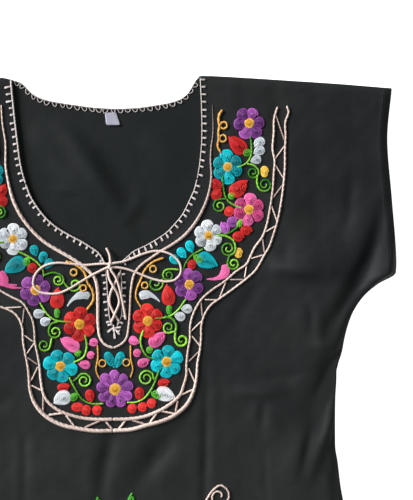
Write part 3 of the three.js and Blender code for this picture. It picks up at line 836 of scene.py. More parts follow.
@dataclass
class Needlework:
    """Threads laid on one face of the cloth, gathered before they are made."""

    surface: Callable[[np.ndarray, np.ndarray], np.ndarray]
    seed: int = 11
    grain: float = 0.16
    paths: list[np.ndarray] = field(default_factory=list)
    lifts: list[np.ndarray] = field(default_factory=list)
    girths: list[np.ndarray] = field(default_factory=list)
    tones: list[np.ndarray] = field(default_factory=list)

    EVENING = (0.25, 0.5, 0.25)  # weights that even out the grain between neighbouring points
    SHADES = 0.04  # spread of lightness from thread to thread
    # stem stitch, as shares of the line's width: how far a strand winds out, the height and radius
    # of the strands, and the length of a turn
    STRANDS = 2
    WIND, WIND_LIMIT = 0.1, 0.3
    ROPE_LIFT, LIFT_WIDTH, ROPE_RADIUS, TURN = 0.34, 3.2, 0.47, 3.4
    TAPER, TAPER_TIP = 2.0, 0.45
    # rounds: the longest step and where each round moves inwards, as shares of a turn; the step and
    # the shortest round, in pitches; the turns left out at the heart
    LONGEST_STEP, STEP_IN, STEP_IN_LENGTH = 0.16, 0.8, 0.2
    STEP, SHORTEST_ROUND, LEFT_OUT = 1.3, 3.0, 0.3
    ROUND_RADIUS, THINNEST, THICKEST = 0.84, 0.35, 1.5

    def __post_init__(self) -> None:
        """Starts the fixed random draws."""
        self.draw = np.random.default_rng(self.seed)

    def lay(self, path: np.ndarray, lift: np.ndarray | float, girth: np.ndarray | float,
            tone: np.ndarray) -> None:
        """Lays one thread.

        Args:
            path: Points on the cloth, in mm.
            lift: Height of the thread's middle above the cloth, in mm.
            girth: Radius of the thread, in mm.
            tone: One linear colour, or one for each point.
        """
        count = len(path)
        grain = np.convolve(self.draw.normal(0, self.grain, count + 2), self.EVENING, "valid")
        shade = (1 + self.draw.normal(0, self.SHADES) + grain)[:, None]
        self.paths.append(path)
        self.lifts.append(np.broadcast_to(np.asarray(lift, float), count))
        self.girths.append(np.broadcast_to(np.asarray(girth, float), count))
        self.tones.append(np.clip(np.broadcast_to(tone, (count, 3)) * shade, 0, 1))

    def rope(self, path: np.ndarray, width: np.ndarray | float, tone: np.ndarray) -> None:
        """Stem stitch: strands that wind round a path, so each stitch slants over the last.

        Args:
            path: Evenly divided points, in mm.
            width: Width of the finished line, in mm.
            tone: Linear colours along the path.
        """
        width = np.broadcast_to(np.asarray(width, float), len(path))
        run, (_, across) = run_of(path), heading(path)
        taper = np.clip(np.minimum(run, run[-1] - run) / self.TAPER + self.TAPER_TIP, 0, 1)
        offset = np.minimum(self.WIND * width, self.WIND_LIMIT) * taper
        for k in range(self.STRANDS):
            angle = math.tau * (run / (self.TURN * width.mean()) + k / self.STRANDS)
            line = path + across * (offset * np.cos(angle))[:, None]
            lift = self.ROPE_LIFT * np.minimum(width, self.LIFT_WIDTH) + offset * np.sin(angle)
            self.lay(line, lift, self.ROPE_RADIUS * width * taper - offset, tone)

    def swirl(self, rim: np.ndarray, heart: np.ndarray, pitch: float, dome: float,
              tone: Callable[[np.ndarray, np.ndarray], np.ndarray], base: float = 0.0) -> None:
        """Fills a shape with rounds of thread from its rim to its heart.

        Args:
            rim: Closed outline, in mm, seen whole from the heart.
            heart: Where the rounds end.
            pitch: Distance between rounds.
            dome: How far the middle stands above the rim.
            tone: Gives the colour from a share outwards and the place.
            base: Height of the rim above the cloth.
        """
        reach = np.linalg.norm(rim - heart, axis=1)
        closed = np.vstack([rim, rim[:1]])
        around = np.linalg.norm(np.diff(closed, axis=0), axis=1).sum()
        rounds = max(2, int(round(reach.min() / pitch)))
        turns, turn = [0.0], 0.0
        while turn < rounds - self.LEFT_OUT:
            share = 1 - (turn + 0.5) / rounds
            turn += min(self.LONGEST_STEP,
                        self.STEP * pitch / max(around * share, self.SHORTEST_ROUND * pitch))
            turns.append(turn)
        turns = np.array(turns)
        inward = np.floor(turns) + rise(turns % 1 - self.STEP_IN, self.STEP_IN_LENGTH)
        share = np.clip(1 - (inward + 0.5) / rounds, 0.04, 1)
        spot = (turns % 1) * len(rim)
        edge = at_places(closed, np.arange(len(closed)), spot)
        path = heart + (edge - heart) * share[:, None]
        spacing = np.linalg.norm(edge - heart, axis=1) / rounds
        girth = np.clip(self.ROUND_RADIUS * spacing, self.THINNEST, self.THICKEST)
        lift = base + 0.1 * girth + dome * (1 - share ** 2)
        self.lay(path, lift, girth, tone(share, path))

    def build(self, name: str, tree: bpy.types.NodeTree,
              material: bpy.types.Material) -> bpy.types.Object:
        """Makes the threads into one mesh object."""
        flat = np.vstack(self.paths)
        height = self.surface(flat[:, 0], flat[:, 1]) + np.concatenate(self.lifts)
        verts = np.column_stack([flat, height]) * MM
        starts = np.cumsum([0] + [len(p) for p in self.paths])
        edges = np.concatenate([np.column_stack([np.arange(a, b - 1), np.arange(a + 1, b)])
                                for a, b in zip(starts, starts[1:])])
        mesh = bpy.data.meshes.new(name)
        mesh.vertices.add(len(verts))
        mesh.vertices.foreach_set("co", verts.astype(np.float32).ravel())
        mesh.edges.add(len(edges))
        mesh.edges.foreach_set("vertices", edges.astype(np.int32).ravel())
        store(mesh, "girth", "FLOAT", np.concatenate(self.girths) * MM)
        store(mesh, "tone", "FLOAT_COLOR", np.vstack(self.tones))
        mesh.update()
        made = put(name, mesh)
        apply_tree(made, tree, {"Material": material})
        return made


# ---------------------------------------------------------------- motifs


def drop_outline(tip: np.ndarray, base: np.ndarray, width: float, point: float = 1.0) -> tuple:
    """Outline of a bud or leaf: pointed at its tip, round about its base.

    Args:
        tip: The pointed end.
        base: Middle of the round end.
        width: Greatest width.
        point: How sharp the tip is; half is blunt.

    Returns:
        The outline and its heart.
    """
    ahead = tip - base
    length = np.linalg.norm(ahead) + 1e-9
    ahead = ahead / length
    across = np.array([-ahead[1], ahead[0]])
    half = (length + width / 2) / 2
    middle = tip - ahead * half
    angle = np.linspace(0, math.tau, 28, endpoint=False)
    bulge = np.sin(angle) * np.abs(np.sin(angle / 2)) ** point
    rim = (middle + np.outer(half * np.cos(angle), ahead)
           + np.outer(width / 2 * bulge / bulge.max(), across))
    heart = middle - ahead * half * 0.28 * point
    return rim, heart


def oval_outline(centre: np.ndarray, width: float, height: float, turn: float = 0.0) -> tuple:
    """Outline of an oval bud or berry, and its heart."""
    angle = np.linspace(0, math.tau, 24, endpoint=False)
    c, s = math.cos(turn), math.sin(turn)
    x, y = width / 2 * np.cos(angle), height / 2 * np.sin(angle)
    return centre + np.column_stack([x * c - y * s, x * s + y * c]), centre


def petal_outline(centre: np.ndarray, angle: float, reach: float, root: float, share: float) -> tuple:
    """Outline of a petal: a blunt fan that fills its share of the flower.

    Args:
        centre: Middle of the flower.
        angle: Direction of the petal.
        reach: Distance from the middle to the petal's end.
        root: Distance from the middle to the petal's root.
        share: Half of the angle that the petal fills.

    Returns:
        The outline and its heart.
    """
    turn = share * np.sin(np.linspace(-math.pi / 2, math.pi / 2, 15))
    cap = reach * (1 - 0.24 * np.abs(turn / share) ** 2.7)
    down = np.linspace(cap[-1], root, 6)[1:]
    angles = np.concatenate([turn, share * np.linspace(0.99, 0.86, 5), -share * np.linspace(0.86, 0.99, 5)])
    reaches = np.concatenate([cap, down, down[::-1]])
    rim = centre + np.column_stack([reaches * np.cos(angle + angles), reaches * np.sin(angle + angles)])
    closed = np.vstack([rim, rim[:1]])
    run = run_of(closed)
    rim = at_places(closed, run, np.linspace(0, run[-1], 29)[:-1])
    return rim, centre + 0.64 * reach * np.array([math.cos(angle), math.sin(angle)])


@dataclass(frozen=True)
class Flower:
    """A flower head in chart squares: place, size, petals, turn of the first petal, and the lit axis of its
    painted sheen.
    """

    x: float
    y: float
    wide: float
    tall: float
    petals: int
    turn: float
    floss: Floss
    lit: float
    glow: float = 0.0


@dataclass(frozen=True)
class Drop:
    """A bud or leaf in chart squares, pointed at its tip."""

    tip: Pair
    base: Pair
    width: float
    floss: Floss
    light: float = 0.5
    point: float = 1.0


@dataclass(frozen=True)
class Oval:
    """A berry, bud or calyx in chart squares."""

    x: float
    y: float
    wide: float
    tall: float
    floss: Floss
    light: float = 0.5
    turn: float = 0.0


@dataclass(frozen=True)
class Comma:
    """A curved bud in chart squares that runs out in a thin tail."""

    points: tuple[Pair, ...]
    width: float
    floss: Floss
    light: float = 0.6


@dataclass(frozen=True)
class Stem:
    """A stem or tendril in chart squares. A curl winds in round its centre at the stem's end."""

    points: tuple[Pair, ...]
    width: float = 2.3
    floss: Floss = Floss.GREEN
    curl: Pair | None = None
    turns: float = 1.4
    clockwise: bool = True


@dataclass(frozen=True)
class Ring:
    """A small open loop in chart squares."""

    x: float
    y: float
    radius: float
    floss: Floss = Floss.GOLD
    width: float = 1.6


P, T, K, R, W = Floss.PURPLE, Floss.TURQUOISE, Floss.PINK, Floss.RED, Floss.WHITE
G, L, O, Y = Floss.GREEN, Floss.LEAF, Floss.GOLD, Floss.YELLOW

# Upper part of the right half, from the first flower down to the third. The left half repeats it.
UPPER = (
    Flower(249.4, 123.3, 32, 33.5, 6, 65, P, 65),
    Flower(227.8, 167, 30, 35, 6, 95, T, 92),
    Flower(249, 209.6, 31.6, 33, 6, 82, K, 85, 0.15),
    Stem(((222.5, 110), (219.4, 115), (218.8, 121), (219.6, 126), (218.6, 132), (218.8, 139), (217.8, 146),
          (221, 153)), 2.8, O),
    Ring(223.8, 125.4, 3.4, O, 2.5),
    Ring(223, 138.6, 3.4, O, 2.5),
    Drop((229, 135.8), (240.2, 147.6), 15, R, 0.35, 0.9),
    Oval(247.2, 152.8, 8.4, 7.6, L, 0.4),
    Drop((253.2, 147), (260.2, 141.8), 9.6, W, 0.4, 0.8),
    Drop((252.5, 152.8), (260.3, 150.6), 9.2, W, 0.25, 0.8),
    Drop((249.8, 160.6), (256.8, 159.6), 9, W, 0.2, 0.8),
    Stem(((250.4, 136), (251.6, 147), (250.6, 157), (246, 163.6), (237, 167.6)), 2.1),
    Stem(((247, 163.8), (254, 165.6), (258.6, 170.6), (257.6, 176)), 2.2, G, (253.2, 172.6), 1.3),
    Stem(((257.4, 175), (257.2, 183), (259.6, 189.2)), 2.2, G, (264.8, 184.8), 1.5, False),
    Oval(264.7, 171.8, 8.5, 11, Y, 0.6),
    Drop((211.5, 178.5), (217, 185.5), 10.5, R, 0.3, 0.6),
    Drop((221.5, 189.5), (216.6, 194.8), 11, R, 0.35, 0.6),
    Drop((248.4, 180.8), (236.5, 190.4), 14.5, R, 0.6, 0.9),
    Oval(232, 196, 7.5, 7.5, L, 0.8),
    Stem(((222.8, 176), (224, 190), (227, 199.6), (234, 205), (242, 208.2)), 2.2),
    Stem(((227, 199), (220.5, 199.4)), 2.2, G, (219.7, 206), 1.5, False),
    Oval(229.3, 211.6, 10, 10, R, 0.8),
    Oval(232.6, 222, 11, 10.5, P, 0.55, 0.4),
    Drop((222, 221.6), (225.4, 228.6), 9.5, P, 0.95, 0.5),
    Drop((243, 218.4), (239, 225), 5.5, G, 0.55, 0.8),
    Stem(((239, 226), (232, 231.4), (225, 234.4), (216, 235.6)), 2.2),
    Oval(246.6, 230.2, 12, 9.5, R, 0.4, -0.3),
    Oval(238.6, 236.6, 11.5, 10, R, 0.45, -0.3),
    Stem(((217, 235.6), (226, 236.2), (233, 240), (235.5, 246.4)), 2.3, G, (228.3, 248.6), 1.7),
    Stem(((229.8, 255.4), (227.9, 261.5)), 2.3, G, (233.6, 263.6), 1.5, False),
    Oval(238.7, 253, 8.5, 10, Y, 0.7),
    Comma(((224.4, 264.6), (225.6, 270.4), (222.6, 275.6), (216, 278.6), (206.6, 279.2)), 8.5, K, 0.9),
)

# Right half from the white flower down to the middle flower.
RIGHT = (
    Flower(208.6, 235.6, 28, 32, 6, 94, W, 90, 0.35),
    Drop((192, 253.4), (189.7, 245), 8.5, T, 0.85, 0.8),
    Drop((185.8, 258.8), (181.2, 251.8), 8.5, T, 0.85, 0.8),
    Drop((179.4, 264.6), (173.8, 258.8), 8.5, T, 0.6, 0.8),
    Stem(((203, 249), (191.5, 255.8), (185.6, 263.6), (182.6, 272.4)), 2.0),
    Drop((193, 253.6), (199.6, 259.4), 7.5, L, 0.9, 0.8),
    Drop((218.4, 266.6), (204.4, 259.8), 16, T, 0.35, 1.0),
    Oval(192.3, 264.4, 9.5, 9.5, R, 0.5),
    Flower(189.4, 284.5, 31, 33, 6, 98, P, 100, 0.1),
    Stem(((178.6, 269.6), (169.4, 269.2)), 2.1, G, (168.6, 275.2), 1.5, False),
    Stem(((162, 279), ), 2.1, G, (155.8, 283.4), 1.5),
    Stem(((163.8, 257.8), (152.6, 262.4), (144.6, 270.6), (141, 279.4), (137, 288.6), (136, 297.4),
          (141.4, 307.4)), 2.4, O),
    Ring(153.3, 269, 3.2, O, 2.3),
    Ring(145, 285.4, 3.1, O, 2.3),
    Comma(((139.6, 296.6), (145.4, 294.6), (151.6, 295.4), (156.4, 298.4), (159.8, 301.6)), 8.6, W, 0.5),
    Drop((167.6, 283.4), (168.8, 298.8), 13.2, R, 0.55, 0.9),
    Oval(169.4, 309.8, 6, 9.5, L, 0.6),
    Drop((180.6, 307.4), (187.6, 308.8), 9, W, 0.45, 0.8),
    Drop((174.4, 313), (180.8, 316.6), 9, W, 0.55, 0.8),
    Stem(((186.2, 298.8), (177.6, 310.4), (169, 316.4), (154.4, 318.4)), 2.0),
    Flower(148, 320.8, 32, 36, 6, 92, R, 95, 0.25),
    Stem(((175.6, 331.4), (172.6, 331.8)), 2.3, G, (168.8, 327.4), 1.4),
    Stem(((164.6, 316.4), (172.6, 318.8), (176.4, 325.4), (175.4, 333), (176, 342.4)), 2.6, G,
         (181.8, 340), 1.3, False),
    Drop((167, 332), (154.8, 341.8), 12.2, K, 0.66, 0.9),
    Oval(150, 350, 7, 7, L, 0.9),
    Stem(((143.6, 330), (140.8, 339.6), (142.8, 349.6), (148, 356.6), (156, 359.4)), 2.3),
    Drop((139.6, 344), (133.2, 340.2), 8.5, K, 1.0, 0.7),
    Oval(137.4, 353, 8, 8, K, 0.7),
    Drop((150.4, 360), (142.2, 363.2), 8.6, K, 0.6, 0.7),
    Flower(166.8, 361.6, 33, 33, 6, 80, T, 30, 0.45),
    Stem(((130.8, 345), (131, 359), (133, 368.6), (130.6, 377.6)), 1.9, O),
    Ring(126.6, 362.4, 3.4, O, 1.8),
    Drop((114.6, 368.8), (108.6, 356.2), 8.8, T, 0.3, 0.8),
    Drop((115.4, 368.8), (121, 356.2), 8.8, T, 0.35, 0.8),
    Flower(115.4, 389.2, 38.4, 40, 9, 90, P, 120, 0.26),
    Stem(((157, 376), (154.2, 379.4)), 2.1, G, (146.4, 378), 1.7, False),
    Stem(((159.2, 370), (155, 382), (150, 391.4), (143.6, 398.6), (135.6, 402), (127, 402.2)), 2.1),
    Drop((138.8, 401), (139.8, 391.8), 9, R, 0.4, 0.6),
    Oval(164, 382.8, 12, 8, R, 0.4),
    Drop((150.6, 390.6), (157.4, 395.2), 7.5, L, 0.7, 0.8),
    Drop((175.8, 398.6), (163.6, 393.4), 14.5, W, 0.9, 0.9),
    Oval(152, 403.2, 9.5, 9.5, R, 0.95),
    Oval(143, 406.8, 9.5, 9.5, R, 0.9),
    Oval(132.7, 408.4, 9.5, 9.5, R, 0.85),
)

# Left half from the white flower down, and the motif that starts on the skirt.
LEFT = (
    Flower(13.4, 239, 30, 33, 6, 88, W, 90, 0.3),
    Drop((36, 256.6), (34.4, 249.4), 8.5, T, 0.35, 0.8),
    Drop((39.6, 262.4), (43.8, 256), 8.5, T, 0.3, 0.8),
    Drop((44.6, 268.6), (49.6, 262.8), 8.5, T, 0.25, 0.8),
    Stem(((18, 251.2), (30.4, 257.4), (38, 263), (43, 270), (43.8, 277)), 2.0),
    Drop((31, 257.4), (26.2, 262.2), 7.5, L, 0.7, 0.8),
    Drop((3.6, 272.2), (18.6, 263.8), 15.4, T, 0.12, 1.0),
    Oval(32.6, 268, 9.5, 9.5, R, 0.3),
    Flower(35.8, 290, 33, 33, 6, 80, P, 135, 0.05),
    Comma(((0.6, 271.4), (4.6, 278.4), (6, 284), (12, 287.2), (22, 288)), 7.5, K, 0.7),
    Stem(((44.4, 275), (54, 272.6), (62.4, 276)), 2.1, G, (58.4, 280), 1.5),
    Stem(((63.6, 281.6), (68.6, 287.6)), 2.1, G, (74.8, 284.6), 1.2, False),
    Stem(((66, 261.2), (77, 265.4), (84.6, 272.4), (87.4, 282), (92.4, 290), (93.4, 299.6),
          (86.8, 310)), 2.8, O),
    Ring(74, 272.4, 3.2, O, 2.5),
    Ring(83.4, 288, 3.1, O, 2.4),
    Comma(((89.4, 297), (84.4, 294.6), (77.6, 296.4), (71.4, 300.8), (67.4, 306.2)), 8.4, W, 0.45),
    Drop((59.4, 286.8), (57.4, 301.6), 13.8, R, 0.5, 0.9),
    Oval(57.5, 313.2, 6, 9.5, L, 0.6),
    Drop((45.8, 312.8), (38.4, 313.8), 9, W, 0.35, 0.8),
    Drop((51.6, 319.8), (45.2, 321.6), 9, W, 0.35, 0.8),
    Stem(((40, 302.4), (48.8, 315.4), (57, 320.6), (72, 321.8)), 2.0),
    Flower(79.7, 324.2, 33, 36, 6, 83, R, 145, 0.15),
    Stem(((59, 321.4), (51.4, 324.2), (49, 331.8)), 2.1, G, (55.4, 331.8), 1.4, False),
    Stem(((52, 338), (50.8, 344.6)), 2.1, G, (44.6, 345), 1.4),
    Drop((60.4, 337.2), (73.8, 346), 12.8, K, 0.85, 0.9),
    Oval(78.2, 353, 7, 7, L, 1.0),
    Stem(((85.4, 334.4), (87, 346.4), (83.6, 357), (73.6, 362.4)), 2.3),
    Drop((88.4, 343.2), (94.2, 342.2), 8, K, 0.8, 0.6),
    Oval(91, 355, 8, 7.5, K, 0.85),
    Drop((78.4, 362.6), (86.4, 364.8), 8.6, K, 0.9, 0.7),
    Flower(60.7, 366, 35, 33, 6, 103, T, 165, 0.2),
    Stem(((97.8, 345), (98.2, 357), (96.4, 370), (99.8, 379)), 1.9, O),
    Ring(102.6, 363.2, 3.4, O, 1.8),
    Stem(((73.4, 381), (77.4, 378)), 2.1, G, (84.4, 380.4), 1.7),
    Stem(((69.4, 377), (76, 389.4), (82.6, 399), (92, 403.4), (104, 403.4)), 2.1),
    Drop((91, 402.6), (90, 394), 9, R, 0.4, 0.6),
    Oval(64, 387.2, 12.5, 8, R, 0.35),
    Drop((79, 393.4), (73.6, 397.4), 7.5, L, 0.6, 0.8),
    Drop((52.8, 402.6), (64, 397.2), 14.5, W, 0.6, 0.9),
    Oval(78, 407, 12, 9, R, 0.75),
    Oval(86.8, 410, 10, 10, R, 0.75),
    Oval(97.6, 410, 9.5, 10, R, 0.7),
    Drop((98.4, 494.8), (99.6, 508), 7, L, 0.3),
    Drop((132.8, 491), (130.4, 506), 7, L, 0.3),
    Stem(((100, 512), (107, 521), (115, 525), (123, 521), (130, 511)), 2.0, L),
    Stem(((196, 512), (204, 505), (208, 497), (213.5, 489.4), (220.7, 485)), 2.4, Floss.CREAM,
         (219, 496), 1.3),
)


@dataclass
class Motifs:
    """Sews the motifs: petals, buds, stems and loops."""

    flowers: Needlework
    leaves: Needlework
    lines: Needlework
    pitch: float = 1.3

    EYE_SHARE = 0.29  # of the smaller half width of a flower
    EYE_PITCH = 0.95
    PETAL_REACH = 0.98
    PETAL_OVERLAP = 1.02
    # painted sheen: petals that point along the lit axis are painted lighter
    LIT_FROM = 0.8  # cosine of the angle to the lit axis within which a petal is light
    SHADED, LIT = 0.2, 0.55  # lightness of a petal, and what the light adds
    COMMA_LINES = 4  # lines of floss on each side of a curved bud's middle
    COMMA_SHAPE = ((0, 0.55), (0.12, 0.95), (0.3, 1), (0.6, 0.45), (1, 0.1))  # place, share of width
    STEM_LIGHT = ((230, 0.58), (320, 0.38))  # height, lightness
    CURL_POINTS = 8  # for each turn

    def sew(self, motif: object, mirrored: bool) -> None:
        """Sews one motif, on the other half where it is mirrored."""
        makers = {Flower: self.flower, Drop: self.drop, Oval: self.oval, Comma: self.comma,
                  Stem: self.stem, Ring: self.ring}
        makers[type(motif)](motif, mirrored)

    @staticmethod
    def place(points: Iterable[Sequence[float]], mirrored: bool) -> np.ndarray:
        """Chart squares to mm on the cloth, on either half."""
        found = CHART.to_cloth(points)
        return found * (-1, 1) if mirrored else found

    def flower(self, motif: Flower, mirrored: bool) -> None:
        """Sews the petals and the eye of a flower."""
        work = self.flowers
        centre = self.place([(motif.x, motif.y)], mirrored)[0]
        wide, tall = motif.wide / 2 * CHART.square, motif.tall / 2 * CHART.square
        eye = self.EYE_SHARE * min(wide, tall)
        for k in range(motif.petals):
            angle = math.radians(motif.turn + 360 * k / motif.petals + work.draw.normal(0, 2))
            # painted sheen: how near the petal points to the lit axis
            lit = abs(math.cos(angle - math.radians(motif.lit)))
            if mirrored:
                angle = math.pi - angle
            ahead = np.array([math.cos(angle), math.sin(angle)])
            reach = wide * tall / math.hypot(tall * ahead[0], wide * ahead[1])
            reach *= self.PETAL_REACH + work.draw.normal(0, 0.025)
            rim, heart = petal_outline(centre, angle, reach, 0.6 * eye,
                                       self.PETAL_OVERLAP * math.pi / motif.petals)
            light = self.SHADED + motif.glow + self.LIT * float(lit > self.LIT_FROM)
            light += work.draw.normal(0, 0.06)
            light = np.clip(light, 0, 1)

            def tone(share: np.ndarray, path: np.ndarray, light: float = light) -> np.ndarray:
                """Petals are lighter round their outline and darker at their roots."""
                outward = np.linalg.norm(path - centre, axis=1) / reach
                rounds = 0.16 * (share > 0.72) - 0.06 * (share < 0.3)
                return motif.floss.tone(light * (0.5 + 0.5 * outward) + rounds)

            work.swirl(rim, heart, self.pitch, 0.35, tone)
        rim, heart = oval_outline(centre, 2.16 * eye, 2.16 * eye)

        def eye_tone(share: np.ndarray, _path: np.ndarray) -> np.ndarray:
            """A yellow ring round an orange core."""
            ring = (share > 0.6)[:, None]
            return np.where(ring, Floss.YELLOW.tone(0.5), Floss.CORE.tone(0.6))

        work.swirl(rim, heart, self.EYE_PITCH, 0.4, eye_tone, 0.75)

    def fill(self, outline: tuple, floss: Floss, light: float, dome: float) -> None:
        """Fills a bud or leaf."""
        rim, heart = outline

        def tone(share: np.ndarray, _path: np.ndarray) -> np.ndarray:
            """A little lighter in the middle."""
            return floss.tone(light + 0.2 * (share > 0.7) - 0.16 * (share < 0.35))

        self.leaves.swirl(rim, heart, self.pitch, dome, tone)

    def drop(self, motif: Drop, mirrored: bool) -> None:
        """Sews a bud or leaf."""
        tip, base = self.place([motif.tip, motif.base], mirrored)
        outline = drop_outline(tip, base, motif.width * CHART.square, motif.point)
        self.fill(outline, motif.floss, motif.light, 0.3)

    def oval(self, motif: Oval, mirrored: bool) -> None:
        """Sews a berry."""
        centre = self.place([(motif.x, motif.y)], mirrored)[0]
        turn = -motif.turn if mirrored else motif.turn
        outline = oval_outline(centre, motif.wide * CHART.square, motif.tall * CHART.square, turn)
        self.fill(outline, motif.floss, motif.light, 0.35)

    def comma(self, motif: Comma, mirrored: bool) -> None:
        """Sews a curved bud in lines that close up towards its tail."""
        path = smooth_path(self.place(motif.points, mirrored), 1.1)
        t = np.linspace(0, 1, len(path))
        half = motif.width * CHART.square / 2 * column(self.COMMA_SHAPE, 1, t)
        across, lines = heading(path)[1], self.COMMA_LINES
        for k in range(-lines, lines + 1):
            share = k / (lines + 0.5)
            lift = 0.3 + 0.4 * (half / half.max()) * (1 - share * share)
            tone = motif.floss.tone(motif.light + 0.1 * (k % 2) * np.ones(len(path)))
            self.leaves.lay(path + across * (half * share)[:, None], lift,
                            0.14 + 0.62 * half / (lines + 0.5), tone)

    def stem(self, motif: Stem, mirrored: bool) -> None:
        """Sews a stem, and the curl at its end."""
        points = [tuple(p) for p in motif.points]
        if motif.curl is not None:
            cx, cy = motif.curl
            dx, dy = points[-1][0] - cx, points[-1][1] - cy
            start, radius = math.atan2(dy, dx), math.hypot(dx, dy)
            sense = 1 if motif.clockwise else -1
            steps = int(motif.turns * self.CURL_POINTS)
            for k in range(1, steps + 1):
                share = k / steps
                angle = start + sense * math.tau * motif.turns * share
                reach = radius * (1 - 0.8 * share ** 1.2)
                points.append((cx + reach * math.cos(angle), cy + reach * math.sin(angle)))
        path = smooth_path(self.place(points, mirrored), 1.0)
        run = np.arange(len(path))
        drift = self.lines.draw.uniform(0, math.tau)
        light = column(self.STEM_LIGHT, 1, path[:, 1])
        share = light + 0.36 * np.sin(run / 13 + drift) if motif.floss is Floss.GREEN else 0.42 + 0 * run
        thin = np.clip(1.16 - 0.2 * run / len(run), 0.5, 1.2)
        self.lines.rope(path, motif.width * CHART.square * thin, motif.floss.tone(share))

    def ring(self, motif: Ring, mirrored: bool) -> None:
        """Sews a small loop."""
        angle = np.linspace(0, math.tau * 1.03, 22)
        points = np.column_stack([motif.x + motif.radius * np.cos(angle),
                                  motif.y + motif.radius * np.sin(angle)])
        path = smooth_path(self.place(points, mirrored), 1.0)
        self.lines.rope(path, motif.width * CHART.square, motif.floss.tone(0.6 + 0 * path[:, 0]))


# ---------------------------------------------------------------- borders and edgings


@dataclass
class Borders:
    """The outlined band round the flowers: two lines, slanted stitches between them, an inner line."""

    work: Needlework
    step: float = 1.15

    # height, widths of the band's inner line, its outer line and the slanted stitches
    WIDTHS = ((76, 4.7, 5.4, 3.0), (96, 4.6, 5.6, 2.9), (130, 3.4, 3.9, 2.3), (165, 2.9, 2.9, 2.0))
    # height, width of the innermost line on either side; height, how bright its right side is
    INNER_LEFT_WIDTHS = ((180, 3.6), (290, 5), (335, 5), (372, 3.2), (400, 2.7), (460, 1.9))
    INNER_RIGHT_WIDTHS = ((210, 3), (270, 3.4), (300, 4.2), (330, 3.9), (372, 2.5), (420, 1.4), (460, 1))
    INNER_RIGHT_LIGHT = ((245, 1), (300, 0.82), (350, 0.68), (400, 0.56), (445, 0.2))

    INNER_RIGHT = (
        (212.5, 105), (213, 133), (211.2, 147), (210.6, 160), (211.4, 177), (208.6, 194), (203, 209),
        (194.3, 224), (184, 236), (171, 245.4), (160.6, 251.4), (151, 258), (141, 265.4), (134.4, 274),
        (131, 290), (129.8, 311), (128.8, 325), (126.6, 337.6), (121.6, 343.8), (113.6, 347.8),
    )
    INNER_LEFT = (
        (1.3, 105), (2.6, 124), (5.6, 143), (5.8, 166), (7.6, 178), (10.7, 192), (14, 202), (20.5, 215),
        (28.4, 226), (36.6, 235), (46, 243), (58, 250.4), (71, 257.8), (80, 263.6), (89.2, 271.4),
        (94.8, 278), (97.4, 288), (97.9, 306), (98.2, 325), (100.6, 338), (105.8, 344.6), (113.6, 347.8),
    )
    BAND_IN_RIGHT = (
        (277.6, 107), (274.2, 119), (273.8, 133), (272.6, 149), (274.6, 161), (273.8, 173), (272.6, 190),
        (270, 208), (266.4, 226), (262.2, 237), (254.6, 247.6), (249.6, 258), (246.6, 264), (236.6, 271),
        (224.6, 281.4), (212, 290), (202.6, 298), (197.6, 305), (192.8, 315), (190.2, 326), (190, 338),
        (188, 350), (186.6, 364), (186.4, 375), (183.6, 385.4), (180, 395), (167, 406.2), (156, 412),
        (144, 416.4), (130, 418.6), (113, 419),
    )
    BAND_IN_LEFT = (
        (0, 290), (10.8, 296.4), (22.8, 302.8), (28.4, 311), (32.8, 320), (34.7, 331), (35.2, 342),
        (38, 355), (39.8, 366), (40.6, 376), (42.2, 387), (44.8, 396), (50.4, 403.6), (60, 410.4),
        (70.6, 414.6), (84.6, 418), (100, 419), (113, 419),
    )
    BAND_OUT_RIGHT = (
        (286.7, 106), (288.6, 112), (285.4, 122.5), (285.7, 136), (285, 150), (284.8, 168), (283, 188),
        (280.6, 205), (277.2, 222), (273.4, 234.4), (269, 247), (264.4, 254.8), (260, 263), (254.8, 271),
        (246.2, 278.8), (233, 289), (219.6, 298.6), (211, 305), (204.6, 314.6), (201.4, 326),
        (201.2, 337), (200, 350), (197.6, 363), (196.8, 375), (195, 386), (191.4, 396.4),
        (186.4, 404.8), (178.6, 412), (170, 417.4), (159, 421.6), (146, 425), (132, 429), (113, 430.4),
    )
    BAND_OUT_LEFT = (
        (0, 306), (8, 309.4), (15, 313.4), (20, 320), (22.8, 329), (23.3, 340.5), (25.4, 353),
        (28, 366), (29.2, 378), (30, 388), (33.6, 400), (41, 411), (50, 418.4), (63, 424.8),
        (78, 428.2), (94, 430.4), (113, 430.4),
    )
    # ends of the slanted stitches, from one line of the band to the other
    SLANTS_RIGHT = (
        ((275.2, 113), (284.4, 140)), ((284.6, 146), (275, 159)), ((275.4, 165), (283.2, 178)),
        ((282.6, 185), (273.4, 197.4)), ((271.6, 206), (277, 221)), ((275.6, 226), (265.6, 232)),
        ((262.8, 239), (264.4, 252.6)), ((263.2, 255), (250.8, 258.6)), ((246.6, 266), (244.6, 277.6)),
        ((243.6, 279.6), (230, 279.6)), ((226, 281.8), (219.8, 297.2)), ((217.6, 300), (204.6, 299.6)),
        ((201.2, 301), (202.4, 316)), ((201.6, 321), (191.4, 331)), ((192.2, 336), (200.6, 346.4)),
        ((199.8, 350.6), (188.8, 361.6)), ((188.8, 368), (195.4, 383)), ((194, 389), (180, 395.4)),
        ((178, 400.6), (175.6, 412)), ((174.8, 413.4), (161, 410.6)), ((157, 412.8), (149.6, 423)),
        ((146, 424), (132, 419.8)), ((125.6, 420.4), (118.4, 429.6)),
    )
    SLANTS_LEFT = (
        ((113, 429.4), (106.2, 421.4)), ((100.8, 420.2), (84.8, 427.4)), ((75, 426.2), (66.2, 414.6)),
        ((64, 412.8), (49, 414.6)), ((43.4, 411), (43.6, 392)), ((42.2, 390.4), (31.6, 385)),
        ((31.6, 380.4), (38, 366.6)), ((38, 364.4), (27.2, 357)), ((27.2, 353.4), (34.6, 342.8)),
        ((33.6, 341.6), (24.4, 335)), ((22.8, 323), (24.4, 308.4)), ((21.6, 307), (3.4, 308)),
    )

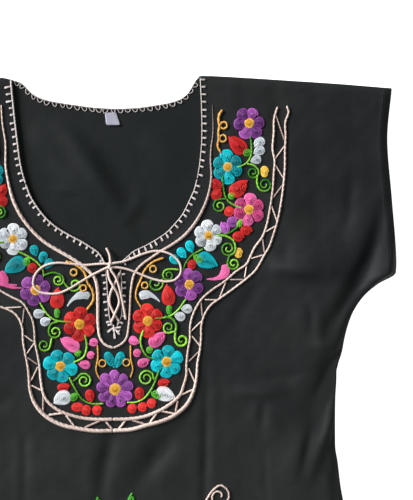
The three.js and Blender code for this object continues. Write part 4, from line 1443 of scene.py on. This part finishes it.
    def line(self, path: np.ndarray, width: np.ndarray | float, floss: Floss, light: float = 0.6) -> None:
        """Sews one line of the band in stem stitch, a little uneven in colour."""
        drift = self.work.draw.uniform(0, math.tau)
        share = light + 0.18 * np.sin(np.arange(len(path)) / 17 + drift)
        self.work.rope(path, width, floss.tone(share))

    def sew(self) -> None:
        """Sews every line on both halves."""
        view_edge = CHART.to_cloth([(0, 298)])[0, 1]
        for right, left, line in ((self.BAND_IN_RIGHT, self.BAND_IN_LEFT, 1),
                                  (self.BAND_OUT_RIGHT, self.BAND_OUT_LEFT, 2)):
            lower = CHART.to_cloth(left)
            upper = CHART.to_cloth(right) * (-1, 1)
            upper = upper[upper[:, 1] > lower[0, 1] + 6]
            for points in (CHART.to_cloth(right), np.vstack([upper, lower])):
                path = smooth_path(points, self.step)
                self.line(path, column(self.WIDTHS, line, path[:, 1]), Floss.CREAM, 0.5)
        right = smooth_path(CHART.to_cloth(self.INNER_RIGHT), self.step)
        light = column(self.INNER_RIGHT_LIGHT, 1, right[:, 1])
        self.work.rope(right, column(self.INNER_RIGHT_WIDTHS, 1, right[:, 1]),
                       Floss.CREAM.tone(0.45) * light[:, None])
        left = smooth_path(CHART.to_cloth(self.INNER_LEFT), self.step)
        self.line(left, column(self.INNER_LEFT_WIDTHS, 1, left[:, 1]), Floss.CREAM, 0.65)
        slants = [CHART.to_cloth(s) for s in self.SLANTS_RIGHT + self.SLANTS_LEFT]
        slants += [s * (-1, 1) for s in map(CHART.to_cloth, self.SLANTS_RIGHT) if s[:, 1].min() > view_edge]
        for k, ends in enumerate(slants):
            floss = Floss.SHADED if k % 3 == 0 else Floss.CREAM
            width = column(self.WIDTHS, 3, ends[:, 1].mean())
            self.line(smooth_path(ends, self.step), float(width), floss, 0.6)


@dataclass
class Edging:
    """Blanket stitch round the front neck and slit, and looped stitch along the back neck."""

    front: Needlework
    back: Needlework
    drape: Drape
    pitch: float = 8.3
    leg: float = 6.0
    slit_pitch: float = 7.8
    slit_leg: float = 4.9

    LEFT_LEG, RIGHT_PITCH = 4.8, 7.3  # below the turn of the neck
    DIM_ABOVE, DIM, BRIGHT = 400.0, 0.55, 0.85  # the upper right legs are dimmer
    LONG_ABOVE, LONG = 450.0, 1.35  # the upper left legs are longer
    LEG_RADII = ((0, 0.42), (0.5, 0.6), (0.85, 0.74), (1, 0.5))  # place along a leg, radius
    # mean and spread of the back loops' half width, depth and slant; radius of their thread
    LOOPS = ((2.7, 0.35), (4.5, 0.5), (1.0, 0.8))
    LOOP_RADIUS = 0.55

    # crossed stitches that hold the foot of the slit, in chart squares
    FOOT_STITCHES = (
        ((113.4, 324.6), (114.2, 331.4)), ((114.2, 331), (115.1, 338.6)), ((113.4, 327.6), (107.8, 332)),
        ((114.6, 327.8), (121, 327.2)), ((115, 328.8), (119.8, 334.4)), ((117, 323.6), (120.6, 321.6)),
        ((112.4, 324), (107.8, 325.2)), ((120.2, 330), (117.2, 332.4)),
    )

    def edge_path(self, right: bool, low: float, high: float) -> np.ndarray:
        """Evenly divided points along one side of the neck or slit, from low to high."""
        y = np.linspace(low, high, 260)
        x = self.drape.neck(y, right)
        out = 0.7 if right else -1.3
        return smooth_path(np.column_stack([x + out, y])[::4], 1.2)

    def stub(self, foot: np.ndarray, tip: np.ndarray, bright: float) -> None:
        """Lays one leg: two threads that swell towards their tip."""
        ahead = (tip - foot) / np.linalg.norm(tip - foot)
        across = np.array([-ahead[1], ahead[0]])
        for shift in (-0.5, 0.5):
            line = smooth_path([foot, (foot + tip) / 2 + across * shift, tip + across * shift], 1.0)
            t = np.linspace(0, 1, len(line))
            lift = 0.3 + 0.7 * np.sin(0.4 + 2.3 * t)
            self.front.lay(line, lift, column(self.LEG_RADII, 1, t), Floss.EDGING.tone(bright))

    def blanket(self, path: np.ndarray, outward: float, pitch: float, leg: float, width: float) -> None:
        """Sews blanket stitch along a path.

        Args:
            path: Evenly divided points of the edge.
            outward: 1 where the cloth lies right of the path's direction, -1 where left.
            pitch: Distance between legs.
            leg: Length of each leg.
            width: Width of the line along the edge.
        """
        work = self.front
        work.rope(path, width, Floss.EDGING.tone(0.6 + 0 * path[:, 0]))
        run, (ahead, left) = run_of(path), heading(path)
        for place in np.arange(pitch * 0.6, run[-1] - 1, pitch):
            place += work.draw.normal(0, 0.35)
            i = int(np.clip(np.searchsorted(run, place), 1, len(path) - 2))
            across = -left[i] * outward
            lean = ahead[i] * work.draw.normal(-0.12, 0.08)
            long = self.LONG if outward < 0 and path[i, 1] > self.LONG_ABOVE else 1.0
            bright = self.DIM if outward > 0 and path[i, 1] > self.DIM_ABOVE else self.BRIGHT
            length = leg * long * (1 + work.draw.normal(0, 0.07))
            self.stub(path[i], path[i] + (across + lean) * length, bright + work.draw.normal(0, 0.14))

    def sew(self) -> None:
        """Sews both sides of the neck and the slit, the bar at its foot and the back neck."""
        neck_foot, turn, top = 262.0, 362.0, self.drape.top
        for right, outward in ((True, 1.0), (False, -1.0)):
            width = 1.6 if right else 2.4
            upper = self.edge_path(right, turn, top - 1 if right else top + 3)
            lower = self.edge_path(right, neck_foot + 4, turn)
            slit = self.edge_path(right, self.drape.slit_foot + 5, neck_foot)
            self.blanket(upper, outward, self.pitch, self.leg - 0.4, width)
            self.blanket(lower, outward, self.RIGHT_PITCH if right else self.pitch,
                         self.leg - 0.2 if right else self.LEFT_LEG, width)
            self.blanket(slit, outward, self.slit_pitch, self.slit_leg, 1.7)
        for foot, tip in self.FOOT_STITCHES:
            self.stub(*CHART.to_cloth([foot, tip]), 0.95)
        self.loops()

    def loops(self) -> None:
        """Sews the scalloped loops along the back neckline, on its inner side."""
        x = np.linspace(-self.drape.neck_corner + 2, self.drape.neck_corner - 2, 120)
        rim = smooth_path(np.column_stack([x, self.drape.back_top(x) - 0.8])[::3], 1.2)
        self.back.rope(rim, 1.0, Floss.EDGING.tone(0.3 + 0 * rim[:, 0]))
        run = np.arange(len(rim)) * 1.2
        ahead, left = heading(rim)
        count = int(run[-1] / self.pitch)
        for k in range(count):
            i = int((k + 0.5) / count * len(rim))
            angle = np.linspace(0.05, math.pi - 0.05, 13)
            wide, deep, slant = (self.back.draw.normal(*spread) for spread in self.LOOPS)
            arc = rim[i] + np.outer(wide * np.cos(angle), ahead[i]) - np.outer(deep * np.sin(angle), left[i])
            arc = arc + np.outer(slant * np.sin(angle), ahead[i])
            self.back.lay(smooth_path(arc, 1.2), self.LOOP_RADIUS, self.LOOP_RADIUS,
                          Floss.EDGING.tone(0.55))


# ---------------------------------------------------------------- cloth panels


@dataclass
class Panel:
    """One cloth panel: a grid in plan, closed into a thin wall with a rounded edge."""

    name: str
    drape: Drape
    under: Callable[[np.ndarray, np.ndarray], np.ndarray]
    face: Callable[[np.ndarray, np.ndarray], np.ndarray]
    thickness: float = 1.0

    def wall(self, plan: np.ndarray, faces: list[tuple[int, ...]]) -> bpy.types.Object:
        """Closes a flat sheet of faces into a wall whose two faces meet round its edge."""
        seen: dict[tuple[int, int], int] = {}
        for loop in faces:
            for a, b in zip(loop, loop[1:] + loop[:1]):
                key = (min(a, b), max(a, b))
                seen[key] = seen.get(key, 0) + 1
        edge = np.zeros(len(plan), bool)
        for (a, b), times in seen.items():
            if times == 1:
                edge[[a, b]] = True
        x, y = plan[:, 0], plan[:, 1]
        upper = self.face(x, y)
        lower = np.maximum(self.under(x, y), upper - self.thickness)
        lower = np.where(self.drape.wall >= upper, self.under(x, y), lower)
        middle = (upper + lower) / 2
        top = np.column_stack([plan, np.where(edge, middle, upper)])
        below = np.column_stack([plan, lower])[~edge]
        link = np.arange(len(plan))
        link[~edge] = len(plan) + np.arange((~edge).sum())
        all_faces = list(faces) + [tuple(int(link[i]) for i in reversed(loop)) for loop in faces]
        return new_mesh_object(self.name, np.vstack([top, below]) * MM, all_faces)


def bands(*parts: tuple[float, float, float]) -> list[float]:
    """Rising places in bands, each with its first place, last place and spacing."""
    found: list[float] = []
    for first, last, spacing in parts:
        count = max(1, int(round((last - first) / spacing)))
        found += list(np.linspace(first, last, count + 1))
    return sorted(set(round(v, 4) for v in found))


def front_panel(drape: Drape) -> bpy.types.Object:
    """Builds the front: two halves that share their centre line below the slit."""
    rows = bands((drape.hem, drape.hem + 1, 1), (drape.hem + 1, -60, 7), (-60, drape.slit_foot, 3.6),
                 (drape.slit_foot, drape.sleeve_foot, 3), (drape.sleeve_foot, 312, 2.6),
                 (312, drape.top - 1, 3.6), (drape.top - 1, drape.top, 1))
    shares = [0, 0.004, 0.012, *np.linspace(0.015, 0.985, 96), 0.992, 0.997, 1]
    plan: list[Pair] = []
    grid: dict[tuple[int, int, int], int] = {}
    for half, sign in enumerate((-1, 1)):
        for j, inner in enumerate(rows):
            part, outer = drape.fan(inner)
            open_here = inner > drape.slit_foot
            start = float(drape.neck(inner, sign > 0)) if open_here else drape.centre
            end = sign * float(drape.side(outer))
            for k, t in enumerate(shares):
                if half and not k and not open_here:
                    grid[half, j, k] = grid[0, j, 0]
                    continue
                x, y = start + (end - start) * t, inner + (outer - inner) * t
                y += float(drape.ease(x)) * part
                y += float(drape.hem_bow(x, inner))
                grid[half, j, k] = len(plan)
                plan.append((x, y))
    faces = []
    for half in (0, 1):
        for j in range(len(rows) - 1):
            for k in range(len(shares) - 1):
                corners = ((j, k), (j, k + 1), (j + 1, k + 1), (j + 1, k))
                loop = tuple(grid[(half, *corner)] for corner in corners)
                faces.append(loop if half else loop[::-1])
    panel = Panel("front_cloth", drape, drape.front_under, drape.front_face)
    return panel.wall(np.array(plan), faces)


def back_panel(drape: Drape) -> bpy.types.Object:
    """Builds the back, whose top edge follows the shoulders and the back neckline."""
    rows = bands((drape.hem, drape.hem + 1, 1), (drape.hem + 1, 200, 13), (200, drape.sleeve_foot, 4),
                 (drape.sleeve_foot, drape.top - 1, 3.6), (drape.top - 1, drape.top, 1))
    beyond = [*np.linspace(0, 0.97, 18), 0.99, 0.997, 1]
    between = np.linspace(-1, 1, 49)[1:-1]
    plan: list[Pair] = []
    for height in rows:
        part, outer = drape.fan(height)
        wide = float(drape.side(outer)) - drape.neck_corner
        right = [drape.neck_corner + wide * t for t in beyond]
        across = np.array([-x for x in right[::-1]] + [drape.neck_corner * t for t in between] + right)
        if part > 0:
            level = drape.sleeve_foot + part * (drape.back_top(across) - drape.sleeve_foot)
        else:
            level = height + drape.hem_bow(across, height)
        plan += list(zip(across, level))
    panel = Panel("back_cloth", drape, drape.back_under, drape.back_face)
    return panel.wall(np.array(plan), grid_faces(len(rows), 2 * len(beyond) + len(between)))


def size_label(drape: Drape) -> bpy.types.Object:
    """Builds the blank label: a strip with round lower corners that bends up a little at its end."""
    centre, width, height, corner, turn = (6.1, 433.4), 17.0, 15.0, 2.6, -0.03
    columns, rows = 13, 12
    narrowing, shear, pivot = 0.2, 3.4, 0.62
    gap, bend, cup = 0.35, 0.9, 0.25
    plan, lift = [], []
    for j in range(rows):
        v = j / (rows - 1)
        up = height * (0.5 - v)
        tuck = corner - math.sqrt(max(0.0, corner ** 2 - max(0.0, corner - height * (1 - v)) ** 2))
        for k in range(columns):
            u = 2 * k / (columns - 1) - 1
            x, y = u * (width / 2 * (1 - narrowing + narrowing * v) - tuck) + shear * (v - pivot), up
            plan.append((centre[0] + x * math.cos(turn) - y * math.sin(turn),
                         centre[1] + x * math.sin(turn) + y * math.cos(turn)))
            lift.append(gap + bend * v ** 2 + cup * u * u * v)
    rest = np.array(lift)

    def under(x: np.ndarray, y: np.ndarray) -> np.ndarray:
        """Lower face of the strip, over the back panel."""
        return drape.back_face(x, y) + rest

    thick = 0.45
    panel = Panel("label_tape", drape, under, lambda x, y: under(x, y) + thick, thick)
    return panel.wall(np.array(plan), [face[::-1] for face in grid_faces(rows, columns)])


# ---------------------------------------------------------------- lacing cord


@dataclass(frozen=True)
class Cord:
    """A length of the lacing cord: route points as x, y and lift above a cord that lies flat."""

    name: str
    nodes: tuple[str, ...]
    far_end: str
    route: tuple[tuple[float, float, float], ...]


@dataclass
class Lacing:
    """The cord that laces the slit, its bow and its knot."""

    drape: Drape
    radius: float = 1.35
    gap: float = 0.3
    step: float = 0.9
    sides: int = 14
    knot_x: float = -1.7
    knot_y: float = 264.7
    knot_lift: float = 3.9

    PLIES = 3
    LAY = 9.5  # length of one twist
    GROOVE = 0.1  # of the radius
    END_ROUND, END_BLUNT = 1.2, 0.25  # length of a rounded end, and where its tip is cut
    BODY_SHARE = 0.96  # mean radius of the twisted surface, so that its ridges reach the full size
    KNOT_TURNS, KNOT_START, KNOT_LENGTH, KNOT_WIDTH, KNOT_HEIGHT = 1.75, 2.4, 1.5, 2.9, 2.2

    CORDS = (
        Cord("lace_bow_left", ("lace_left_loop", "lace_short_end"), "bare", (
            (-2.4, 266.0, 2.4), (-6.8, 267.0, 2.2), (-18, 266.8, 0.8), (-30, 266.2, 0), (-46, 268.0, 0),
            (-62, 269.6, 0), (-75, 267.4, 0), (-84.5, 261, 0), (-89.6, 252, 0), (-89.6, 243.4, 0),
            (-84, 237.4, 0), (-74, 234.6, 0), (-62.5, 234.6, 0), (-50, 239, 0), (-36.5, 246.6, 0),
            (-22.5, 254.4, 0.6), (-6.8, 261.8, 1.9), (-3.0, 263.6, 2.6), (-1.2, 266.2, 2.9),
            (-1.0, 269.5, 2.2), (-2, 277.6, 0.4), (-5.3, 285, -1.2))),
        Cord("lace_bow_right", ("lace_right_loop", "lace_long_end"), "bare", (
            (-0.9, 266.4, 2.0), (3.4, 267.4, 2.2), (13, 268.6, 0.9), (23, 271.8, 0), (37, 277, 0),
            (50.5, 279.8, 0), (64, 277.6, 0), (74, 271.6, 0), (79.4, 262.6, 0), (79, 253, 0),
            (73, 246.4, 0), (63.5, 244.4, 0), (51, 246.6, 0), (37, 252, 0), (25, 257.4, 0.3),
            (14, 261, 1.2), (3.4, 262.6, 2.0), (0.4, 262.2, 3.2), (-0.4, 260.0, 3.6), (4.6, 251.5, 3.5),
            (8.2, 241, 3.3), (11.2, 226, 3.3), (13.4, 212, 1.2), (14.6, 202, 0))),
        Cord("lace_run_left", ("lace_left_run",), "object", (
            (-4.6, 260.6, 0.8), (-2.6, 249, 2.4), (1.6, 241, 3.7), (6, 232, 1.2), (7.6, 222, 0),
            (3.4, 211, 3.7), (-2.6, 199, 0))),
        Cord("lace_run_right", ("lace_right_run",), "object", (
            (9.6, 256.6, 0), (6, 249, 0), (1, 240, 0), (-2.6, 231, 0), (-3.4, 222, 0), (0.6, 211, 0),
            (7, 200, 0))),
    )

    def path(self, route: Sequence[Sequence[float]]) -> np.ndarray:
        """Evenly divided centreline of a length of cord, in mm."""
        points = np.array(route, float)
        level = self.drape.front_face(points[:, 0], points[:, 1]) + self.gap + self.radius + points[:, 2]
        return smooth_path(np.column_stack([points[:, :2], level]), self.step)

    def tube(self, name: str, path: np.ndarray) -> bpy.types.Object:
        """Twisted cord of three plies along a path, with rounded ends."""
        count = len(path)
        ahead = heading(path)[0]
        side = np.cross(ahead[0], (0, 0, 1.0))
        side /= np.linalg.norm(side)
        run = np.arange(count) * self.step
        angle = np.linspace(0, math.tau, self.sides, endpoint=False)
        ring = np.column_stack([np.cos(angle), np.sin(angle), 0 * angle])
        verts = []
        for i in range(count):
            side = side - ahead[i] * (side @ ahead[i])
            side /= np.linalg.norm(side)
            up = np.cross(ahead[i], side)
            twist = math.tau * run[i] / self.LAY
            lobes = 1 + self.GROOVE * np.cos(self.PLIES * (angle - twist))
            from_end = min(run[i], run[-1] - run[i]) + self.END_BLUNT
            shrink = math.sqrt(max(0.05, 1 - max(0.0, 1 - from_end / self.END_ROUND) ** 2))
            size = self.radius * self.BODY_SHARE * lobes * shrink
            verts.append(path[i] + np.outer(size * np.cos(angle), side) + np.outer(size * np.sin(angle), up))
        faces = []
        for i in range(count - 1):
            for k in range(self.sides):
                a, b = i * self.sides + k, i * self.sides + (k + 1) % self.sides
                faces.append((a, b, b + self.sides, a + self.sides))
        last = (count - 1) * self.sides
        faces.append(tuple(reversed(range(self.sides))))
        faces.append(tuple(range(last, last + self.sides)))
        made = new_mesh_object(name, np.vstack(verts) * MM, faces)
        run = np.repeat(run, self.sides)
        store(made.data, "rim", "FLOAT_VECTOR", np.tile(ring, (count, 1)))
        store(made.data, "run", "FLOAT", run * MM)
        # painted shade: the cord's tone rises and falls in slow waves along it
        store(made.data, "tone", "FLOAT_COLOR", Floss.CREAM.tone(0.72 + 0.12 * np.sin(run / 9)))
        return made

    def knot(self) -> bpy.types.Object:
        """The turn of cord that binds the bow in its middle."""
        level = float(self.drape.front_face(np.array(self.knot_x), np.array(self.knot_y))) + self.knot_lift
        turns = np.linspace(0, self.KNOT_TURNS * math.tau, 40)
        x = self.knot_x + self.KNOT_LENGTH * (turns / turns[-1] * 2 - 1)
        turns += self.KNOT_START
        loop = np.column_stack([x, self.knot_y + self.KNOT_WIDTH * np.cos(turns),
                                level + self.KNOT_HEIGHT * np.sin(turns)])
        return self.tube("lace_bow_knot", smooth_path(loop, self.step))

    def build(self, material: bpy.types.Material) -> None:
        """Makes and declares every length of the cord."""
        knot = self.knot()
        declare(knot, material, ["lace_knot"])
        for cord in self.CORDS:
            path = self.path(cord.route)
            piece = self.tube(cord.name, path)
            declare(piece, material, cord.nodes)


# ---------------------------------------------------------------- studio


@dataclass(frozen=True)
class Studio:
    """White table, soft light from the upper left and a camera straight above the bodice."""

    lens: float = 100.0
    sensor: float = 36.0
    frame_height: float = 0.575
    centre_x: float = 0.1098
    centre_y: float = 0.2792
    roll: float = 0.0304
    lift: float = 0.005

    KEY_AIM, KEY_SPREAD, KEY_STRENGTH = (0.77, -0.42, -0.42), 0.45, 6.1
    FILL_PLACE, FILL_SIZE, FILL_POWER = (0.1, -0.9, 1.5), 0.8, 5
    SKY_STRENGTH = 0.15
    TABLE_HALF, TABLE_LEVEL = 4.0, -0.0003

    def camera(self) -> None:
        """Hangs the camera over the bodice, turned a little to the dress."""
        data = bpy.data.cameras.new("camera")
        data.lens, data.sensor_width = self.lens, self.sensor
        held = put("camera", data)
        level = self.frame_height / 2 * self.lens / (self.sensor / 2)
        held.location = (self.centre_x, self.centre_y, level + self.lift)
        held.rotation_euler = (0, 0, -self.roll)
        bpy.context.scene.camera = held

    @staticmethod
    def lamp(data: bpy.types.Light, aim: Sequence[float], watts: float) -> bpy.types.Object:
        """Adds a lamp that shines along a direction."""
        data.energy = watts
        lamp = put(data.name, data)
        lamp.rotation_euler = Vector(aim).to_track_quat("-Z", "Y").to_euler()
        return lamp

    def lights(self) -> None:
        """Adds the distant key and the soft square fill, which points at the bodice."""
        key = bpy.data.lights.new("key", "SUN")
        key.angle = self.KEY_SPREAD
        self.lamp(key, self.KEY_AIM, self.KEY_STRENGTH)
        fill, place = bpy.data.lights.new("fill", "AREA"), Vector(self.FILL_PLACE)
        fill.size = self.FILL_SIZE
        aim = Vector((self.centre_x, self.centre_y, 0)) - place
        self.lamp(fill, aim, self.FILL_POWER).location = place

    def floor(self) -> None:
        """Lays the white table top."""
        half = self.TABLE_HALF
        corners = [(x * half, y * half, self.TABLE_LEVEL) for x, y in ((-1, -1), (1, -1), (1, 1), (-1, 1))]
        table = new_mesh_object("table_top", np.array(corners), [(0, 1, 2, 3)])
        look = Look("white_table")
        ramp = look.add("ShaderNodeMapRange", {"To Min": 0.86, "To Max": 0.9,
                                               "Value": look.noise(look.place, 4.0, 2.0)})
        look.feed(look.shader, {"Base Color": ramp.outputs["Result"], "Roughness": 0.9,
                                "Emission Color": (1, 1, 1, 1), "Emission Strength": 1.0})
        table.data.materials.append(look.material)

    def build(self) -> None:
        """Sets the whole studio up."""
        self.camera()
        world = bpy.data.worlds.new("studio")
        bpy.context.scene.world = world
        world.use_nodes = True
        Nodes(world.node_tree).feed(world.node_tree.nodes["Background"],
                                    {"Color": (1, 1, 1, 1), "Strength": self.SKY_STRENGTH})
        self.lights()
        self.floor()
        bpy.context.scene.view_settings.view_transform = "Standard"
        bpy.context.scene.view_settings.look = "None"


# ---------------------------------------------------------------- the dress


@dataclass
class Dress:
    """Every piece of the dress, built in order."""

    drape: Drape = field(default_factory=Drape)

    def cloth(self, effects: Effects) -> None:
        """Builds and declares both panels and the label."""
        cotton = ClothFinish("black_cotton", (15, 20, 25), (36, 38, 36), 1500, 0.6, 0.22, 0.0).build(effects)
        # painted shade: the back panel, seen through the neck opening, gets a darker cotton than the front
        in_neck = ClothFinish("black_cotton_painted_shade", (14, 19, 20), (33, 37, 36), 1500, 0.62, 0.18,
                             0.0).build(effects)
        tape = ClothFinish("white_tape", (146, 148, 162), (180, 180, 196), 2600, 0.6, 0.3, 0.1,
                           0.00006).build(effects)
        pieces = (
            (front_panel(self.drape), "front_panel", "cloth", cotton, (0.72, 0.995), 0.54, ["back_cloth"]),
            (back_panel(self.drape), "back_panel", "cloth", in_neck, (0.72, 0.995), 0.57, ["table_top"]),
            (size_label(self.drape), "size_label", "label_tape", tape, (0.017, 0.015), None,
             ["back_cloth"]),
        )
        for piece, node, slot, finish, flat, area, under in pieces:
            declare(piece, finish, [node])

    def embroidery(self, effects: Effects) -> None:
        """Sews the motifs, the borders and the edgings."""
        tree = thread_tubes_tree()
        floss = FlossFinish("satin_floss", 0.0022, 0.44, 0.26, 0.26, 0.00014).build(effects)
        pearl = FlossFinish("pearl_cotton", 0.0026, 0.5, 0.24, 0.2, 0.00012).build(effects)
        front = self.drape.front_face
        flowers, leaves, lines = (Needlework(front, seed) for seed in (3, 5, 8))
        border, edge = Needlework(front, 13, 0.06), Needlework(front, 21, 0.1)
        neck = Needlework(self.drape.back_face, 34, 0.12)
        motifs = Motifs(flowers, leaves, lines)
        for group, mirrored in ((UPPER, False), (RIGHT, False), (LEFT, False), (UPPER, True)):
            for motif in group:
                motifs.sew(motif, mirrored)
        Borders(border).sew()
        Edging(edge, neck, self.drape).sew()
        for name, work, finish in (
                ("embroidered_flowers", flowers, floss), ("embroidered_leaves", leaves, floss),
                ("embroidered_stems", lines, floss), ("embroidered_border", border, pearl),
                ("neck_edging", edge, pearl), ("back_neck_edging", neck, pearl)):
            declare(work.build(name, tree, finish))

    def hems(self, effects: Effects) -> None:
        """Sews the stitch lines of the sleeve hems and the bottom hem."""
        black = FlossFinish("black_thread", 0.001, 0.5, 0.25, 0.2, 0.00005).build(effects)
        drape, lines = self.drape, []
        for sign in (-1, 1):
            y = np.linspace(drape.sleeve_foot + 4, drape.sleeve_top - 4, 60)
            lines.append(np.column_stack([sign * (drape.side(y) - drape.hem_depth), y]))
        x = np.linspace(-drape.hem_half_width + 8, drape.hem_half_width - 8, 160)
        lines.append(np.column_stack([x, drape.hem_at(x) + 2 * drape.hem_depth]))
        verts, edges = [], []
        for line in lines:
            height = drape.front_face(line[:, 0], line[:, 1]) + 0.1
            start = len(verts)
            verts += list(np.column_stack([line, height]) * MM)
            edges += [(start + i, start + i + 1) for i in range(len(line) - 1)]
        made = new_mesh_object("hem_stitches", verts, [], edges)
        apply_tree(made, hem_stitch_tree(), {"Material": black})
        store(made.data, "tone", "FLOAT_COLOR", np.tile(linear((44, 46, 48)), (len(made.data.vertices), 1)))
        declare(made)


def main() -> None:
    """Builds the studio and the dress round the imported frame."""
    logging.basicConfig(level=logging.INFO, format="%(message)s")
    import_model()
    Studio().build()
    effects = Effects()
    dress = Dress()
    cord = FlossFinish("lacing_cord", 0.0032, 0.6, 0.3, 0.18, 0.0002).build(effects)
    Lacing(dress.drape).build(cord)
    dress.cloth(effects)
    dress.embroidery(effects)
    dress.hems(effects)


if __name__ == "__main__":
    main()
